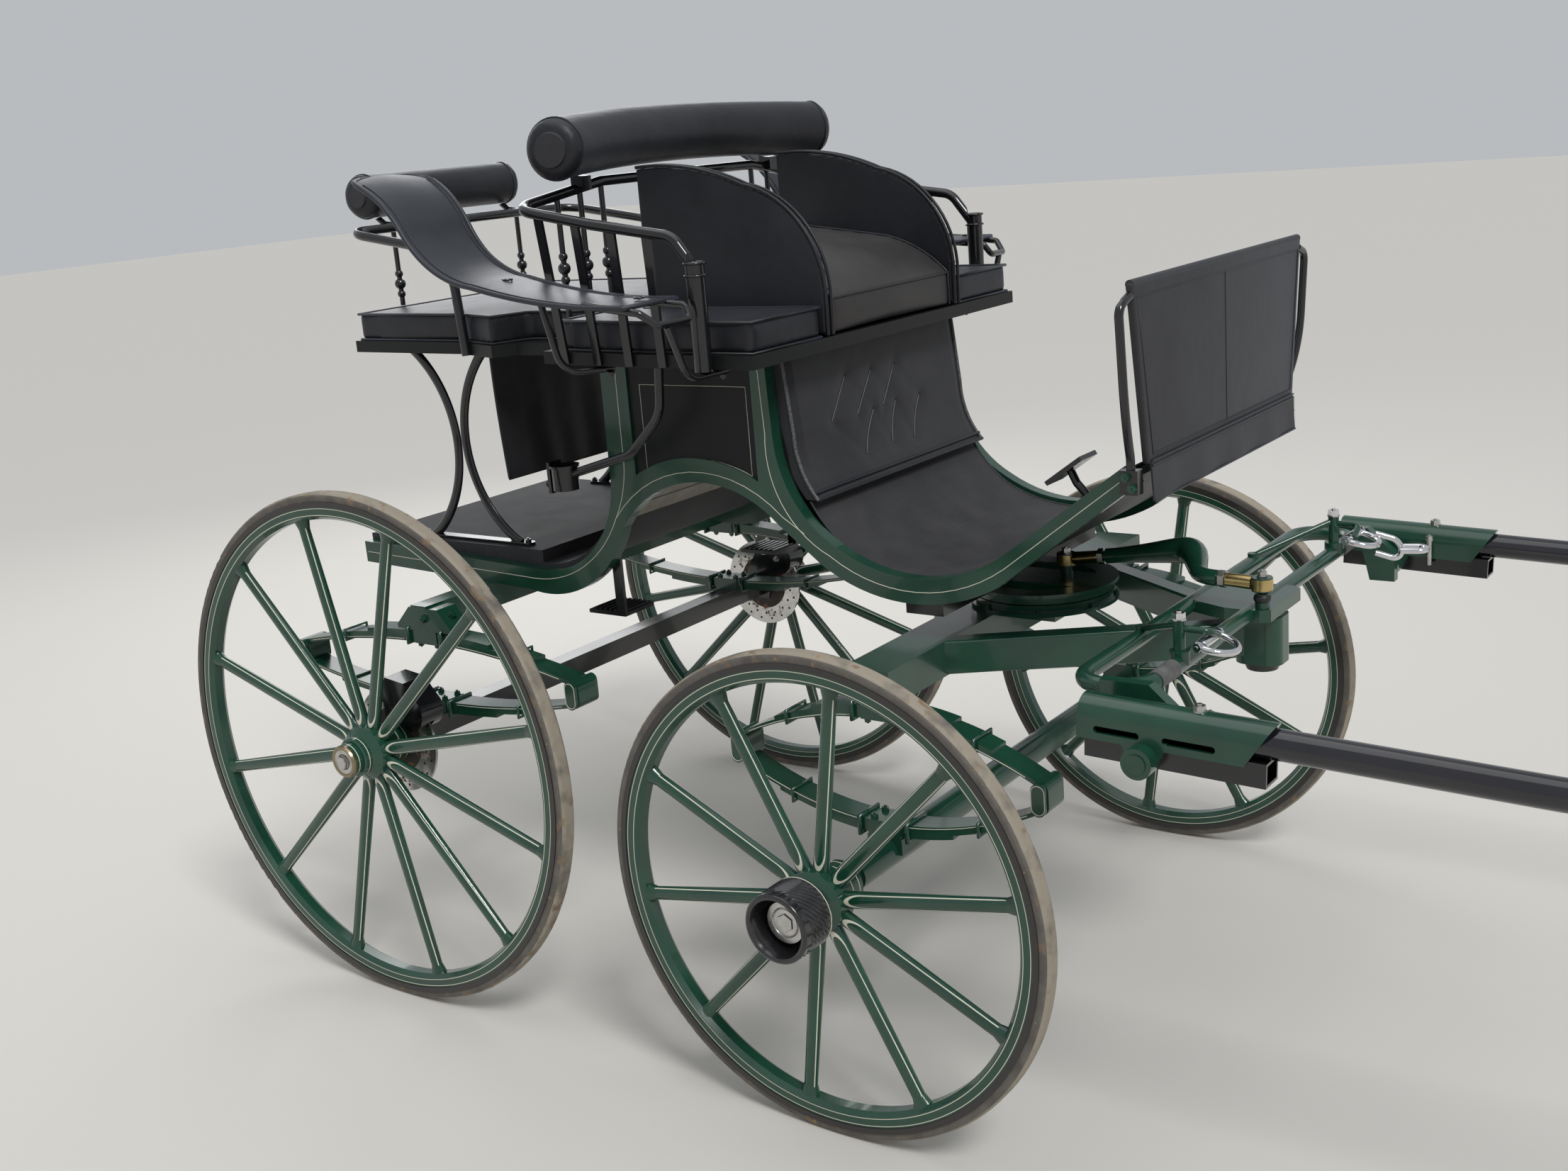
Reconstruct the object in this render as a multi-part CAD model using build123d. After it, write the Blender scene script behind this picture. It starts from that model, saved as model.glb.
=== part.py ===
from build123d import *
import math
import os

# Four-wheeled horse drawn carriage, in millimetres.
# X runs forward from the rear axle, Y to the carriage's left, Z up from the ground.
# place() moves the finished pieces by ORIGIN_X, so that the origin is under the middle of the whole length.
REAR_R = 480
FRONT_R = 390
FRONT_AXLE_X = 980
HALF_TRACK = 640
SHAFT_TIP_X = 3250
ORIGIN_X = (SHAFT_TIP_X - REAR_R) / 2

# wheels
TYRE_W = 32
TYRE_T = 20
RIM_DEPTH = 28
RIM_W = 34
HUB_R = 36
HUB_INNER = 62
HUB_OUTER = 46
BEARING_R = 20
SPINDLE_R = 19.95
DISC_R = 100
DISC_T = 5
DISC_GAP = 6

# body
BODY_HALF = 302
FRAME_T = 24
INSIDE = BODY_HALF - FRAME_T
BOARD_Z = 1150
BOARD_T = 22
BOARD_TOP = BOARD_Z + BOARD_T
CUSHION_TOP = 1227
FLOOR_TOP = 776

# axles and springs
AXLE_HALF = 20
AXLE_END = 548
LEAF_T = 7
EYE_R = 9
CLAMP_H = 26
REAR_SPRING_Y = 455
FRONT_SPRING_Y = 430

# steering
TURN_X = 1040
TURN_R = 120
BEAM_BOTTOM = 637
BEAM_TOP = 695
LINK_REAR = (1068, 34)
LINK_REAR_Z = 757
LINK_FRONT = (1450, -60)
LINK_FRONT_Z = 771
STUD_R = 6
BOSS_X = 1427
DRAFT_Z = 722

# shaft hinges
HINGE_X = 1475
HINGE_Z = 664
SHAFT_Y = 540
SHAFT_R = 21
CHANNEL_IN = 21.3
CHANNEL_OUT = 28

os.makedirs("parts", exist_ok=True)


def place(shape, name):
    """Write one piece, moved so that the origin is under the middle of the length."""
    moved = Pos(-ORIGIN_X, 0, 0) * shape
    export_step(moved, f"parts/{name}.step")


def both(shape):
    """A piece and its mirror image on the carriage's other side, as solids that don't touch."""
    return Compound(children=[*shape.solids(), *mirror(shape, about=Plane.XZ).solids()])


def box(x0, x1, y0, y1, z0, z1):
    """A box between two corners."""
    return Pos((x0 + x1) / 2, (y0 + y1) / 2, (z0 + z1) / 2) * Box(x1 - x0, y1 - y0, z1 - z0)


def cyl_y(x, z, r, y0, y1):
    """A round bar along Y."""
    return Pos(x, (y0 + y1) / 2, z) * Rot(90, 0, 0) * Cylinder(r, y1 - y0)


def cyl_z(x, y, r, z0, z1):
    """An upright round bar."""
    return Pos(x, y, (z0 + z1) / 2) * Cylinder(r, z1 - z0)


def tube(points, radius, bends):
    """A round bar or tube bent along straight runs and arcs."""
    path = FilletPolyline(*points, radius=bends)
    start = Plane(origin=path @ 0, z_dir=path % 0)
    return sweep(start * Circle(radius), path=path)


def rod(start, end, radius):
    """A straight round bar between two points."""
    path = Line(start, end)
    return sweep(Plane(origin=path @ 0, z_dir=path % 0) * Circle(radius), path=path)


def slab(start, steps, y0, y1):
    """A closed outline in the XZ plane, made solid from y0 to y1.
    A step is (x, z) for a line or (mid_x, mid_z, x, z) for an arc."""
    edges = []
    here = (start[0], 0, start[1])
    for step in [*steps, start]:
        there = (step[-2], 0, step[-1])
        if len(step) == 2:
            edges.append(Line(here, there))
        else:
            edges.append(ThreePointArc(here, (step[0], 0, step[1]), there))
        here = there
    face = make_face(edges)
    return Pos(0, y0, 0) * extrude(face, amount=y1 - y0, dir=(0, 1, 0))


def plan(half, z0, z1):
    """A slab whose outline in plan is half and its mirror image across the centreline."""
    outline = [*half, *[(x, -y) for x, y in reversed(half)]]
    face = make_face(Polyline(*outline, close=True))
    return Pos(0, 0, z0) * extrude(face, amount=z1 - z0, dir=(0, 0, 1))


def ring_z(x, y, r_out, r_in, z0, z1):
    """A flat ring round an upright axis."""
    return cyl_z(x, y, r_out, z0, z1) - cyl_z(x, y, r_in, z0 - 1, z1 + 1)


def turned(profile):
    """A turned piece round the Y axis, from its half section of (radius, y) points."""
    return revolve(make_face(Polyline(*profile, close=True)), axis=Axis.Y)


# wheels
def wheel(radius, spokes, phase):
    """Channelled rim, oval spokes with a collar at the rim, and turned hub, round the Y axis."""
    rim_out = radius - TYRE_T
    rim_in = rim_out - RIM_DEPTH
    half = RIM_W / 2
    lip = TYRE_W / 2 + 0.1
    side = [
        (rim_in, half - 8), (rim_in + 6, half), (rim_out - 4, half), (rim_out - 4, half + 1.5),
        (rim_out + 5, half + 1.5), (rim_out + 5, lip), (rim_out, lip),
    ]
    body = turned([*side, *[(r, -y) for r, y in reversed(side)]])
    body += turned([
        (BEARING_R, -HUB_OUTER), (HUB_R - 3, -HUB_OUTER), (HUB_R, -HUB_OUTER + 3), (HUB_R, -30),
        (HUB_R + 8, -23), (HUB_R + 14, -18), (HUB_R + 14, 18), (HUB_R + 8, 23), (HUB_R + 2, 30),
        (HUB_R + 2, HUB_INNER), (BEARING_R, HUB_INNER),
    ])
    collar = 18
    spoke_len = rim_in - HUB_R + 6
    shank = loft([
        Plane.XY * Ellipse(14, 10),
        Plane.XY.offset(spoke_len - collar) * Ellipse(11.5, 9),
    ])
    shank += loft([
        Plane.XY.offset(spoke_len - collar) * Ellipse(11.5, 9),
        Plane.XY.offset(spoke_len) * Ellipse(17, 12.5),
    ])
    for i in range(spokes):
        turn = phase + 360 * i / spokes
        body += Rot(0, turn, 0) * Pos(0, 0, HUB_R - 3) * shank
    return body - cyl_y(0, 0, BEARING_R, -HUB_OUTER - 1, HUB_INNER + 1)


def tyre(radius):
    """A solid rubber tyre with rounded shoulders."""
    outer = cyl_y(0, 0, radius, -TYRE_W / 2, TYRE_W / 2)
    outer = fillet(outer.edges(), 8)
    return outer - cyl_y(0, 0, radius - TYRE_T, -TYRE_W, TYRE_W)


# the rear cap carries a raised hexagon, the front one is a deep drum round a smaller cap
face_y = -HUB_OUTER - 20
rear_cap = turned([
    (0, face_y), (22, face_y), (24, face_y - 2), (28, face_y - 2), (30, face_y + 2), (30, -HUB_OUTER),
    (0, -HUB_OUTER),
])
rear_cap += Pos(0, face_y + 1, 0) * extrude(Plane.XZ * RegularPolygon(12, 6), amount=7)
drum_y = -HUB_OUTER - 70
front_cap = turned([
    (0, -HUB_OUTER), (54, -HUB_OUTER), (54, drum_y + 3), (51, drum_y), (46, drum_y), (44, drum_y + 4),
    (44, -HUB_OUTER - 14), (22, -HUB_OUTER - 14), (22, -HUB_OUTER - 40), (20, -HUB_OUTER - 42),
    (0, -HUB_OUTER - 42),
])
disc = turned([(30, HUB_INNER), (DISC_R, HUB_INNER), (DISC_R, HUB_INNER + DISC_T), (30, HUB_INNER + DISC_T)])

# name, radius, axle x, spokes, phase: turn in degrees of the first spoke from upright, cap
WHEELS = [
    ("rear", REAR_R, 0, 12, 16.9, rear_cap),
    ("front", FRONT_R, FRONT_AXLE_X, 10, 8, front_cap),
]
for end, radius, axle_x, spokes, phase, cap in WHEELS:
    kit = [
        (f"{end}_wheel", wheel(radius, spokes, phase)),
        (f"{end}_tyre", tyre(radius)),
        (f"{end}_hub_cap", cap),
    ]
    if end == "rear":
        kit.append(("rear_disc", disc))
    for piece_name, piece in kit:
        place(Pos(axle_x, -HALF_TRACK, radius) * piece, f"{piece_name}_right")
        place(Pos(axle_x, HALF_TRACK, radius) * mirror(piece, about=Plane.XZ), f"{piece_name}_left")

# rear axle: a square bar with turned spindles
SPINDLE_END = HALF_TRACK + HUB_OUTER - 4
rear_axle = box(-AXLE_HALF, AXLE_HALF, -AXLE_END, AXLE_END, REAR_R - AXLE_HALF, REAR_R + AXLE_HALF)
rear_axle += cyl_y(0, REAR_R, SPINDLE_R, -SPINDLE_END, SPINDLE_END)
place(rear_axle, "rear_axle")

# brake calipers: a flanged bracket on each spindle and a body that straddles the disc
disc_y = HALF_TRACK - HUB_INNER
caliper = slab(
    (-28, REAR_R - 30),
    [(30, REAR_R - 30), (62, REAR_R + 70), (8, REAR_R + 92), (-28, REAR_R + 28)],
    -AXLE_END - 8,
    -AXLE_END,
)
caliper += slab(
    (2, REAR_R + 52),
    [
        (66, REAR_R + 30), (96, REAR_R + 48, 98, REAR_R + 82), (62, REAR_R + 122), (14, REAR_R + 128),
        (2, REAR_R + 100),
    ],
    -disc_y - DISC_GAP - 16,
    -AXLE_END,
)
caliper -= cyl_y(0, REAR_R, DISC_R + DISC_GAP, -disc_y - DISC_GAP, -disc_y + DISC_T + DISC_GAP)
caliper -= cyl_y(0, REAR_R, SPINDLE_R, -700, -500)
place(both(caliper), "brake_calipers")

# front axle: a round tube with spring seats
front_axle = cyl_y(FRONT_AXLE_X, FRONT_R, 25, -552, 552)
front_axle += cyl_y(FRONT_AXLE_X, FRONT_R, SPINDLE_R, -SPINDLE_END, SPINDLE_END)
for y in (-FRONT_SPRING_Y, FRONT_SPRING_Y):
    front_axle += box(FRONT_AXLE_X - 32, FRONT_AXLE_X + 32, y - 25, y + 25, FRONT_R, FRONT_R + 27)
place(front_axle, "front_axle")


def elliptic_spring(x, y, z_low, z_high, half_len, width):
    """Two bowed leaf packs, hinged together at their ends by plated shackles."""
    mid = (z_low + z_high) / 2
    y0 = y - width / 2
    y1 = y + width / 2
    eye_z = mid - 14
    top = z_low + CLAMP_H - 2
    rise = eye_z - EYE_R + LEAF_T - top
    pack = box(x - 30, x + 30, y0 - 2, y1 + 2, z_low, z_low + CLAMP_H)
    # reach of the leaf as a share of the half length, drop of its face below the main leaf's
    for share, drop in [(1.0, 0), (0.72, LEAF_T), (0.45, 2 * LEAF_T)]:
        reach = half_len * share
        low = top - drop
        end = low + rise * share * share
        under = LEAF_T + 0.4
        pack += slab(
            (x - reach, end),
            [(x, low, x + reach, end), (x + reach, end - under), (x, low - under, x - reach, end - under)],
            y0,
            y1,
        )
    for end_x in (x - half_len, x + half_len):
        pack += cyl_y(end_x, eye_z, EYE_R, y0, y1)
    spring = pack + mirror(pack, about=Plane.XY.offset(mid))
    for end_x in (x - half_len, x + half_len):
        plate = extrude(Plane.XZ * SlotCenterToCenter(28, 24, rotation=90), amount=4, both=True)
        for plate_y in (y0 - 4, y1 + 4):
            spring += Pos(end_x, plate_y, mid) * plate
    return spring


rear_spring = elliptic_spring(0, -REAR_SPRING_Y, REAR_R + AXLE_HALF, 660, 360, 45)
front_spring = elliptic_spring(FRONT_AXLE_X, -FRONT_SPRING_Y, FRONT_R + 27, BEAM_BOTTOM, 278, 45)
place(both(rear_spring), "rear_springs")
place(both(front_spring), "front_springs")

# side frames: an S-shaped sweep with a recessed panel over the wheel arch
side_frame = slab(
    (-345, 722),
    [
        (110, 705), (300, 752, 362, 842), (535, 934, 706, 872), (790, 808), (960, 757, 1120, 798),
        (1357, 974), (1337, 1000), (1140, 857), (985, 800, 822, 840), (742, 915, 710, 1020), (704, BOARD_Z),
        (345, BOARD_Z), (343, 940), (297, 810, 150, 745), (-345, 765),
    ],
    -BODY_HALF,
    -INSIDE,
)
side_frame -= slab(
    (404, BOARD_Z + 1), [(404, 940), (538, 976, 673, 942), (673, BOARD_Z + 1)], -BODY_HALF - 1, -BODY_HALF + 5
)
place(side_frame, "side_frame_right")
place(mirror(side_frame, about=Plane.XZ), "side_frame_left")

# floors and boards between the side frames
front_floor = slab(
    (1330, 985),
    [
        (1137, 842), (983, 785, 828, 823), (752, 893, 720, 985), (704, 1060), (694, BOARD_Z),
        (682, BOARD_Z), (690, 1058), (707, 982), (740, 886, 820, 812), (983, 773, 1144, 832), (1337, 975),
    ],
    -INSIDE,
    INSIDE,
)
place(front_floor, "front_floor")
arch_boards = slab((368, 856), [(535, 942, 700, 883), (705, 893), (535, 954, 360, 866)], -INSIDE, INSIDE)
place(arch_boards, "arch_boards")
rear_floor = slab(
    (-348, 752),
    [
        (150, 752), (283, 815, 329, 938), (331, BOARD_Z), (343, BOARD_Z), (341, 938), (293, 806, 155, 738),
        (-348, 738),
    ],
    -INSIDE,
    INSIDE,
)
rear_floor += box(-348, 130, -INSIDE, INSIDE, 752, FLOOR_TOP)
place(rear_floor, "rear_floor")
heel_panel = slab((36, 1148), [(40, 1030, 50, 906), (62, 908), (53, 1030, 49, 1148)], -270, 270)
place(heel_panel, "heel_panel")

# seat board: narrow and tapered under the rear seat, wide under the front seat
board_half = [
    (-300, -290), (5, -300), (125, -342), (150, -302), (303, -302), (303, -394), (341, -398), (535, -418),
    (775, -425),
]
seat_board = plan(board_half, BOARD_Z, BOARD_TOP)
place(seat_board, "seat_board")
quilt_panel = slab(
    (776, 912),
    [(746, 960, 736, 1020), (722, BOARD_Z - 1), (708, BOARD_Z - 1), (716, 1018), (728, 958, 762, 900)],
    -INSIDE + 2,
    INSIDE - 2,
)
place(quilt_panel, "quilt_panel")

# cushions and rolls, plain closed forms
rear_cushion = plan([(-292, -286), (5, -296), (122, -336), (150, -264), (298, -258)], BOARD_TOP, CUSHION_TOP)
place(rear_cushion, "rear_cushion")
front_cushion = plan([(340, -390), (535, -410), (772, -416)], BOARD_TOP, CUSHION_TOP)
front_cushion -= box(392, 800, -221, 221, BOARD_TOP - 1, CUSHION_TOP + 1)
place(front_cushion, "front_cushion")
driver_cushion = slab(
    (430, BOARD_TOP), [(776, BOARD_TOP), (776, 1240), (740, 1268, 640, 1312), (430, 1340)], -195, 195
)
place(driver_cushion, "driver_cushion")
seat_end = slab(
    (396, BOARD_TOP),
    [(777, BOARD_TOP), (778, 1250), (740, 1355, 626, 1425), (515, 1458, 396, 1464)],
    -219,
    -197,
)
place(both(seat_end), "seat_ends")

ROLL_Z = 1512
ROLL_R = 54


def roll(x, z, half_len, back, radius):
    """A bolster bowed back in its middle."""
    path = ThreePointArc((x, -half_len, z), (x - back, 0, z), (x, half_len, z))
    start = Plane(origin=path @ 0, z_dir=path % 0)
    return sweep(start * Circle(radius), path=path)


back_roll = roll(370, ROLL_Z, 395, 60, ROLL_R)
rear_roll = roll(-325, 1444, 215, 14, 46)
place(back_roll, "back_roll")
place(rear_roll, "rear_roll")

# whip sockets: upright tubes at the front ends of the seat rail
RAIL_Y = 434
RAIL_R = 9
WHIP_X = 690
WHIP_Y = 440.5
whip_socket = cyl_z(WHIP_X, -WHIP_Y, 15, BOARD_Z, 1320) - cyl_z(WHIP_X, -WHIP_Y, 12, 1200, 1321)
place(both(whip_socket), "whip_sockets")


def spindle(x, y, z0, z1, bead_z):
    """A thin turned upright with three beads."""
    shape = cyl_z(x, y, 5, z0, z1)
    for rise, radius in ((-20, 8), (0, 11), (20, 8)):
        shape += Pos(x, y, bead_z + rise) * Sphere(radius)
    return shape


# front seat rail: a bent tube on flat uprights along the sides and turned ones behind
rail_half = [
    (WHIP_X, -RAIL_Y, 1303), (645, -RAIL_Y, 1360), (480, -RAIL_Y, 1384), (310, -RAIL_Y, 1414),
    (322, -222, 1446), (314, 0, 1446),
]
rail_points = rail_half + [(x, -y, z) for x, y, z in reversed(rail_half[:-1])]
seat_rail = tube(rail_points, RAIL_R, [40, 60, 40, 60, 300, 60, 40, 60, 40])
# x of the upright, half width of the board there, height of the rail there
for x, edge, top in ((363, 400, 1404), (443, 408, 1390), (519, 416, 1378), (592, 419, 1367)):
    sides = [(3 - RAIL_Y, top), (-3 - RAIL_Y, top), (-edge - 6, BOARD_Z + 2), (-edge, BOARD_Z + 2)]
    bar = Pos(x - 8, 0, 0) * extrude(make_face(Plane.YZ * Polyline(*sides, close=True)), amount=16)
    seat_rail += bar
    seat_rail += mirror(bar, about=Plane.XZ)
# place and top of each turned upright behind the seat
for x, y, top in ((316, 332, 1429), (319, 276, 1438), (321, 222, 1443)):
    for side in (-1, 1):
        seat_rail += spindle(x, side * y, BOARD_TOP, top, 1306)
        seat_rail += box(x - 11, x + 11, side * y - 9, side * y + 9, BOARD_TOP, BOARD_TOP + 3)
# saddles that carry the roll
for side in (-1, 1):
    seat_rail += box(312, 338, side * 276 - 12, side * 276 + 12, 1434, 1470)
seat_rail -= back_roll
seat_rail -= seat_board
for side in (-1, 1):
    seat_rail -= cyl_z(WHIP_X, side * WHIP_Y, 15, BOARD_Z - 1, 1380)
place(seat_rail, "seat_rail")

# rear seat rail: a hoop with two turned posts that go on up to the rear roll
REAR_RAIL_Y = 315
rear_half = [
    (32, -REAR_RAIL_Y, BOARD_Z), (22, -REAR_RAIL_Y, 1290), (-38, -REAR_RAIL_Y, 1348),
    (-252, -REAR_RAIL_Y, 1382),
]
rear_points = rear_half + [(x, -y, z) for x, y, z in reversed(rear_half)]
rear_rail = tube(rear_points, RAIL_R, [45, 45, 50, 50, 45, 45])
for side in (-1, 1):
    y = side * 175
    rear_rail += spindle(-278, y, CUSHION_TOP + 0.5, 1382, 1270)
    rear_rail += box(-284, -240, y - 6, y + 6, 1374, 1390)
    rear_rail += tube([(-262, y, 1384), (-300, y, 1388), (-322, y, 1404)], 6, [12])
rear_rail -= rear_roll
rear_rail -= seat_board
place(rear_rail, "rear_rail")

# mudguards: curved leather wings, widest at the rear, on bent irons
guard = slab(
    (96, 1490),
    [
        (130, 1484), (180, 1440), (228, 1386), (280, 1338, 340, 1316), (411, 1302), (650, 1276),
        (650, 1268), (409, 1294), (336, 1308), (272, 1332, 222, 1380), (175, 1433), (127, 1476), (96, 1482),
    ],
    -605,
    -425,
)
guard_plan = Polyline((90, -602), (90, -430), (250, -446), (660, -446), (660, -572), (300, -592), close=True)
guard &= Pos(0, 0, 1200) * extrude(make_face(guard_plan), amount=400)
place(both(guard), "mudguards")
# a loop under the front end, and two rods that curl under the seat board
front_loop = tube(
    [
        (560, -472, 1269), (690, -472, 1258), (702, -480, 1238), (692, -545, 1236), (670, -562, 1257),
        (560, -562, 1269),
    ],
    6,
    [9, 9, 9, 9],
)
front_rod = tube([(694, -525, 1232), (692, -484, 1143.5), (692, -380, 1143.5)], 6, [40])
rear_rod = tube([(370, -560, 1293), (374, -470, 1293), (402, -456, 1143.5), (450, -380, 1143.5)], 6, [22, 40])
place(both(Compound(children=[front_loop + front_rod, rear_rod])), "mudguard_irons")

# dashboard, and the irons that bulge out beside it from brackets on the side frames
dash_outline = Plane.YZ * Polyline((-294, 1003), (294, 1003), (338, 1271), (-338, 1271), close=True)
dashboard = Pos(1360, 0, 0) * extrude(make_face(dash_outline), amount=14)
place(dashboard, "dashboard")
dash_iron = tube(
    [(1367, -325, 1252), (1367, -370, 1236), (1364, -352, 1080), (1352, -312, 1014), (1352, -312, 975)],
    6.5,
    [18, 250, 30],
)
dash_iron += box(1338, 1366, -321, -BODY_HALF, 962, 998)
place(both(dash_iron - dashboard), "dash_irons")

# rear irons: two bowed bars back to back between the footboard and the seat board
IRON_Y = 252
foot_irons = extrude(SlotOverall(300, 22), amount=6)
foot_irons = Pos(-66, -IRON_Y, FLOOR_TOP) * foot_irons
# foot, middle and head of each bowed bar, as (x, z)
BOWS = [((-186, 778), (-90, 975), (-182, BOARD_Z)), ((52, 778), (-66, 968), (12, BOARD_Z))]
for foot, middle, head in BOWS:
    bow = ThreePointArc(*[(x, -IRON_Y, z) for x, z in (foot, middle, head)])
    section = Plane(origin=bow @ 0, x_dir=(0, 1, 0), z_dir=bow % 0) * Ellipse(6, 10)
    foot_irons += sweep(section, path=bow)
    foot_irons += box(head[0] - 22, head[0] + 22, -IRON_Y - 10, -IRON_Y + 10, BOARD_Z - 5, BOARD_Z)
foot_irons &= box(-300, 300, -300, -200, FLOOR_TOP, BOARD_Z)
place(both(foot_irons), "footboard_irons")

# steps: ribbed treads hung inside the side frames
step = box(303, 323, -INSIDE, -INSIDE + 7, 664, 790)
step += box(234, 323, -INSIDE, -196, 664, 671)
for x in range(244, 320, 12):
    step += box(x - 3, x + 3, -INSIDE + 7, -198, 671, 674)
place(both(step), "steps")

# lamp socket: an open clamp ring on a bent arm, just behind the right side of the seat board
LAMP_X = 280
LAMP_Y = -350
lamp_arm = [(522, LAMP_Y, BOARD_Z), (514, LAMP_Y, 1060), (440, LAMP_Y, 988), (295, LAMP_Y, 946)]
socket = tube(lamp_arm, 8, [60, 60])
socket += cyl_z(LAMP_X, LAMP_Y, 24, 918, 963) + cyl_z(LAMP_X, LAMP_Y, 27, 959, 963)
socket += box(251, 258, LAMP_Y - 16, LAMP_Y + 16, 912, 968)
socket -= cyl_z(LAMP_X, LAMP_Y, 20, 900, 980)
socket -= seat_board
place(socket, "lamp_socket")

# brake pedal
pedal = tube([(1150, 0, 858), (1110, 0, 900), (1100, 0, 920)], 7, [20])
pedal += Pos(1100, 0, 925) * Rot(0, -35, 0) * Box(80, 60, 8)
place(pedal, "brake_pedal")

# cross members under the body, the rear one with sloping seats on the springs
rear_member = box(-28, 12, -480, 480, 660, 708)
for side in (-1, 1):
    y0, y1 = sorted((side * 432, side * 480))
    rear_member += slab((-70, 660), [(72, 660), (72, 668), (40, 704), (-34, 704), (-70, 668)], y0, y1)
place(rear_member, "rear_member")
front_member = box(935, 1005, -INSIDE, INSIDE, 733, 770)
place(front_member, "front_member")

# turntable: two flanged rings, the upper one with the pivot pin and the link's stud
upper_ring = ring_z(TURN_X, 0, TURN_R, 90, 715, 733) + ring_z(TURN_X, 0, TURN_R + 8, 90, 727, 733)
upper_ring += box(TURN_X - 100, TURN_X + 100, -46, 46, 715, 733)
upper_ring += cyl_z(TURN_X, 0, 13.95, 660, 733)
upper_ring += cyl_z(*LINK_REAR, 11, 733, LINK_REAR_Z - 12)
upper_ring += cyl_z(*LINK_REAR, STUD_R - 0.05, LINK_REAR_Z - 12, LINK_REAR_Z + 15)
place(upper_ring, "upper_turntable")
lower_ring = ring_z(TURN_X, 0, TURN_R, 85, BEAM_TOP, 713) + ring_z(TURN_X, 0, TURN_R + 8, 85, BEAM_TOP, 701)
place(lower_ring, "lower_turntable")

# fore-carriage: cross beam with chamfered ends, A-frame and rounded boss
beam_ends = [
    (-460, BEAM_TOP), (-460, 668), (-425, BEAM_BOTTOM), (425, BEAM_BOTTOM), (460, 668), (460, BEAM_TOP),
]
fore_frame = Pos(925, 0, 0) * extrude(make_face(Plane.YZ * Polyline(*beam_ends, close=True)), amount=85)
fore_frame += box(960, TURN_X + 40, -40, 40, 665, BEAM_TOP)
for side in (-1, 1):
    arm_len = math.hypot(BOSS_X - 960, 300)
    arm_turn = -side * math.degrees(math.atan2(300, BOSS_X - 960))
    arm = Box(arm_len, 36, 56)
    arm = fillet(arm.edges().filter_by(Axis.X), 4)
    fore_frame += Pos((BOSS_X + 960) / 2, side * 150, 667) * Rot(0, 0, arm_turn) * arm
boss = Box(76, 66, 78)
boss = fillet(boss.edges().filter_by(Axis.Z), 22)
fore_frame += Pos(BOSS_X, 0, 666) * boss
fore_frame += cyl_z(BOSS_X, 0, 25, 614, 627)
fore_frame -= cyl_z(BOSS_X, 0, 14, 634, 706)
fore_frame -= cyl_z(TURN_X, 0, 14, 600, 706)
place(fore_frame, "fore_frame")

# draft frame: a looped tube with its pivot, the link's post and the shafts' hinge pins
LOOP_Y = 465
LOOP_R = 13
loop = FilletPolyline((1325, -LOOP_Y), (1430, -LOOP_Y), (1430, LOOP_Y), (1325, LOOP_Y), radius=48, close=True)
loop_path = Pos(0, 0, DRAFT_Z) * loop
loop_start = Plane(origin=loop_path @ 0, z_dir=loop_path % 0)
draft_frame = sweep(loop_start * Circle(LOOP_R), path=loop_path)
draft_frame += plan([(1318, -46), (1395, -78), (1452, -78), (1466, -66)], 712, 732)
draft_frame += cyl_z(BOSS_X, 0, 13.95, 642, 730)
for side in (-1, 1):
    low, high = sorted((side * 462, side * 482))
    draft_frame += slab(
        (1374, 706), [(1374, 737), (1448, 737), (1497, 694), (1497, 642), (1453, 642), (1438, 704)], low, high
    )
    low, high = sorted((side * 470, side * 592))
    draft_frame += cyl_y(HINGE_X, HINGE_Z, 13.95, low, high)
draft_frame += cyl_z(*LINK_FRONT, 11, 730, LINK_FRONT_Z - 15)
place(draft_frame, "draft_frame")

# trace posts: each a round post with a shackle arm and a brace down to the loop's rear tube
TRACE_Y = -334
trace_post = cyl_z(1430, TRACE_Y, 9, DRAFT_Z, 788) + cyl_z(1430, TRACE_Y, 15, DRAFT_Z, 742)
trace_post += tube([(1430, TRACE_Y, 775), (1475, TRACE_Y, 775), (1475, -300, 760)], 5, [12])
trace_post += rod((1325, -230, 734), (1430, TRACE_Y, 780), 5)
trace_post += cyl_z(1325, -230, 9, DRAFT_Z, 739)
place(both(trace_post - draft_frame), "trace_shackles")

# steering link, bent like an S, with thinner rod ends
LINK_LINE = [(*LINK_REAR, LINK_REAR_Z), (1286, 46, 786), (1346, -56, 774), (*LINK_FRONT, LINK_FRONT_Z)]
rear_neck = Vector(*LINK_LINE[0]) + (Vector(*LINK_LINE[1]) - Vector(*LINK_LINE[0])) * 0.34
front_neck = Vector(*LINK_LINE[2]) + (Vector(*LINK_LINE[3]) - Vector(*LINK_LINE[2])) * 0.3
link = tube(LINK_LINE, 8, [40, 40])
link += tube([rear_neck, LINK_LINE[1], LINK_LINE[2], front_neck], 13, [40, 40])
link += cyl_z(*LINK_REAR, 16, LINK_REAR_Z - 11, LINK_REAR_Z + 11)
link += cyl_z(*LINK_FRONT, 16, LINK_FRONT_Z - 11, LINK_FRONT_Z + 11)
link -= cyl_z(*LINK_REAR, STUD_R, LINK_REAR_Z - 20, LINK_REAR_Z + 20)
place(link, "steering_link")

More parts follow.
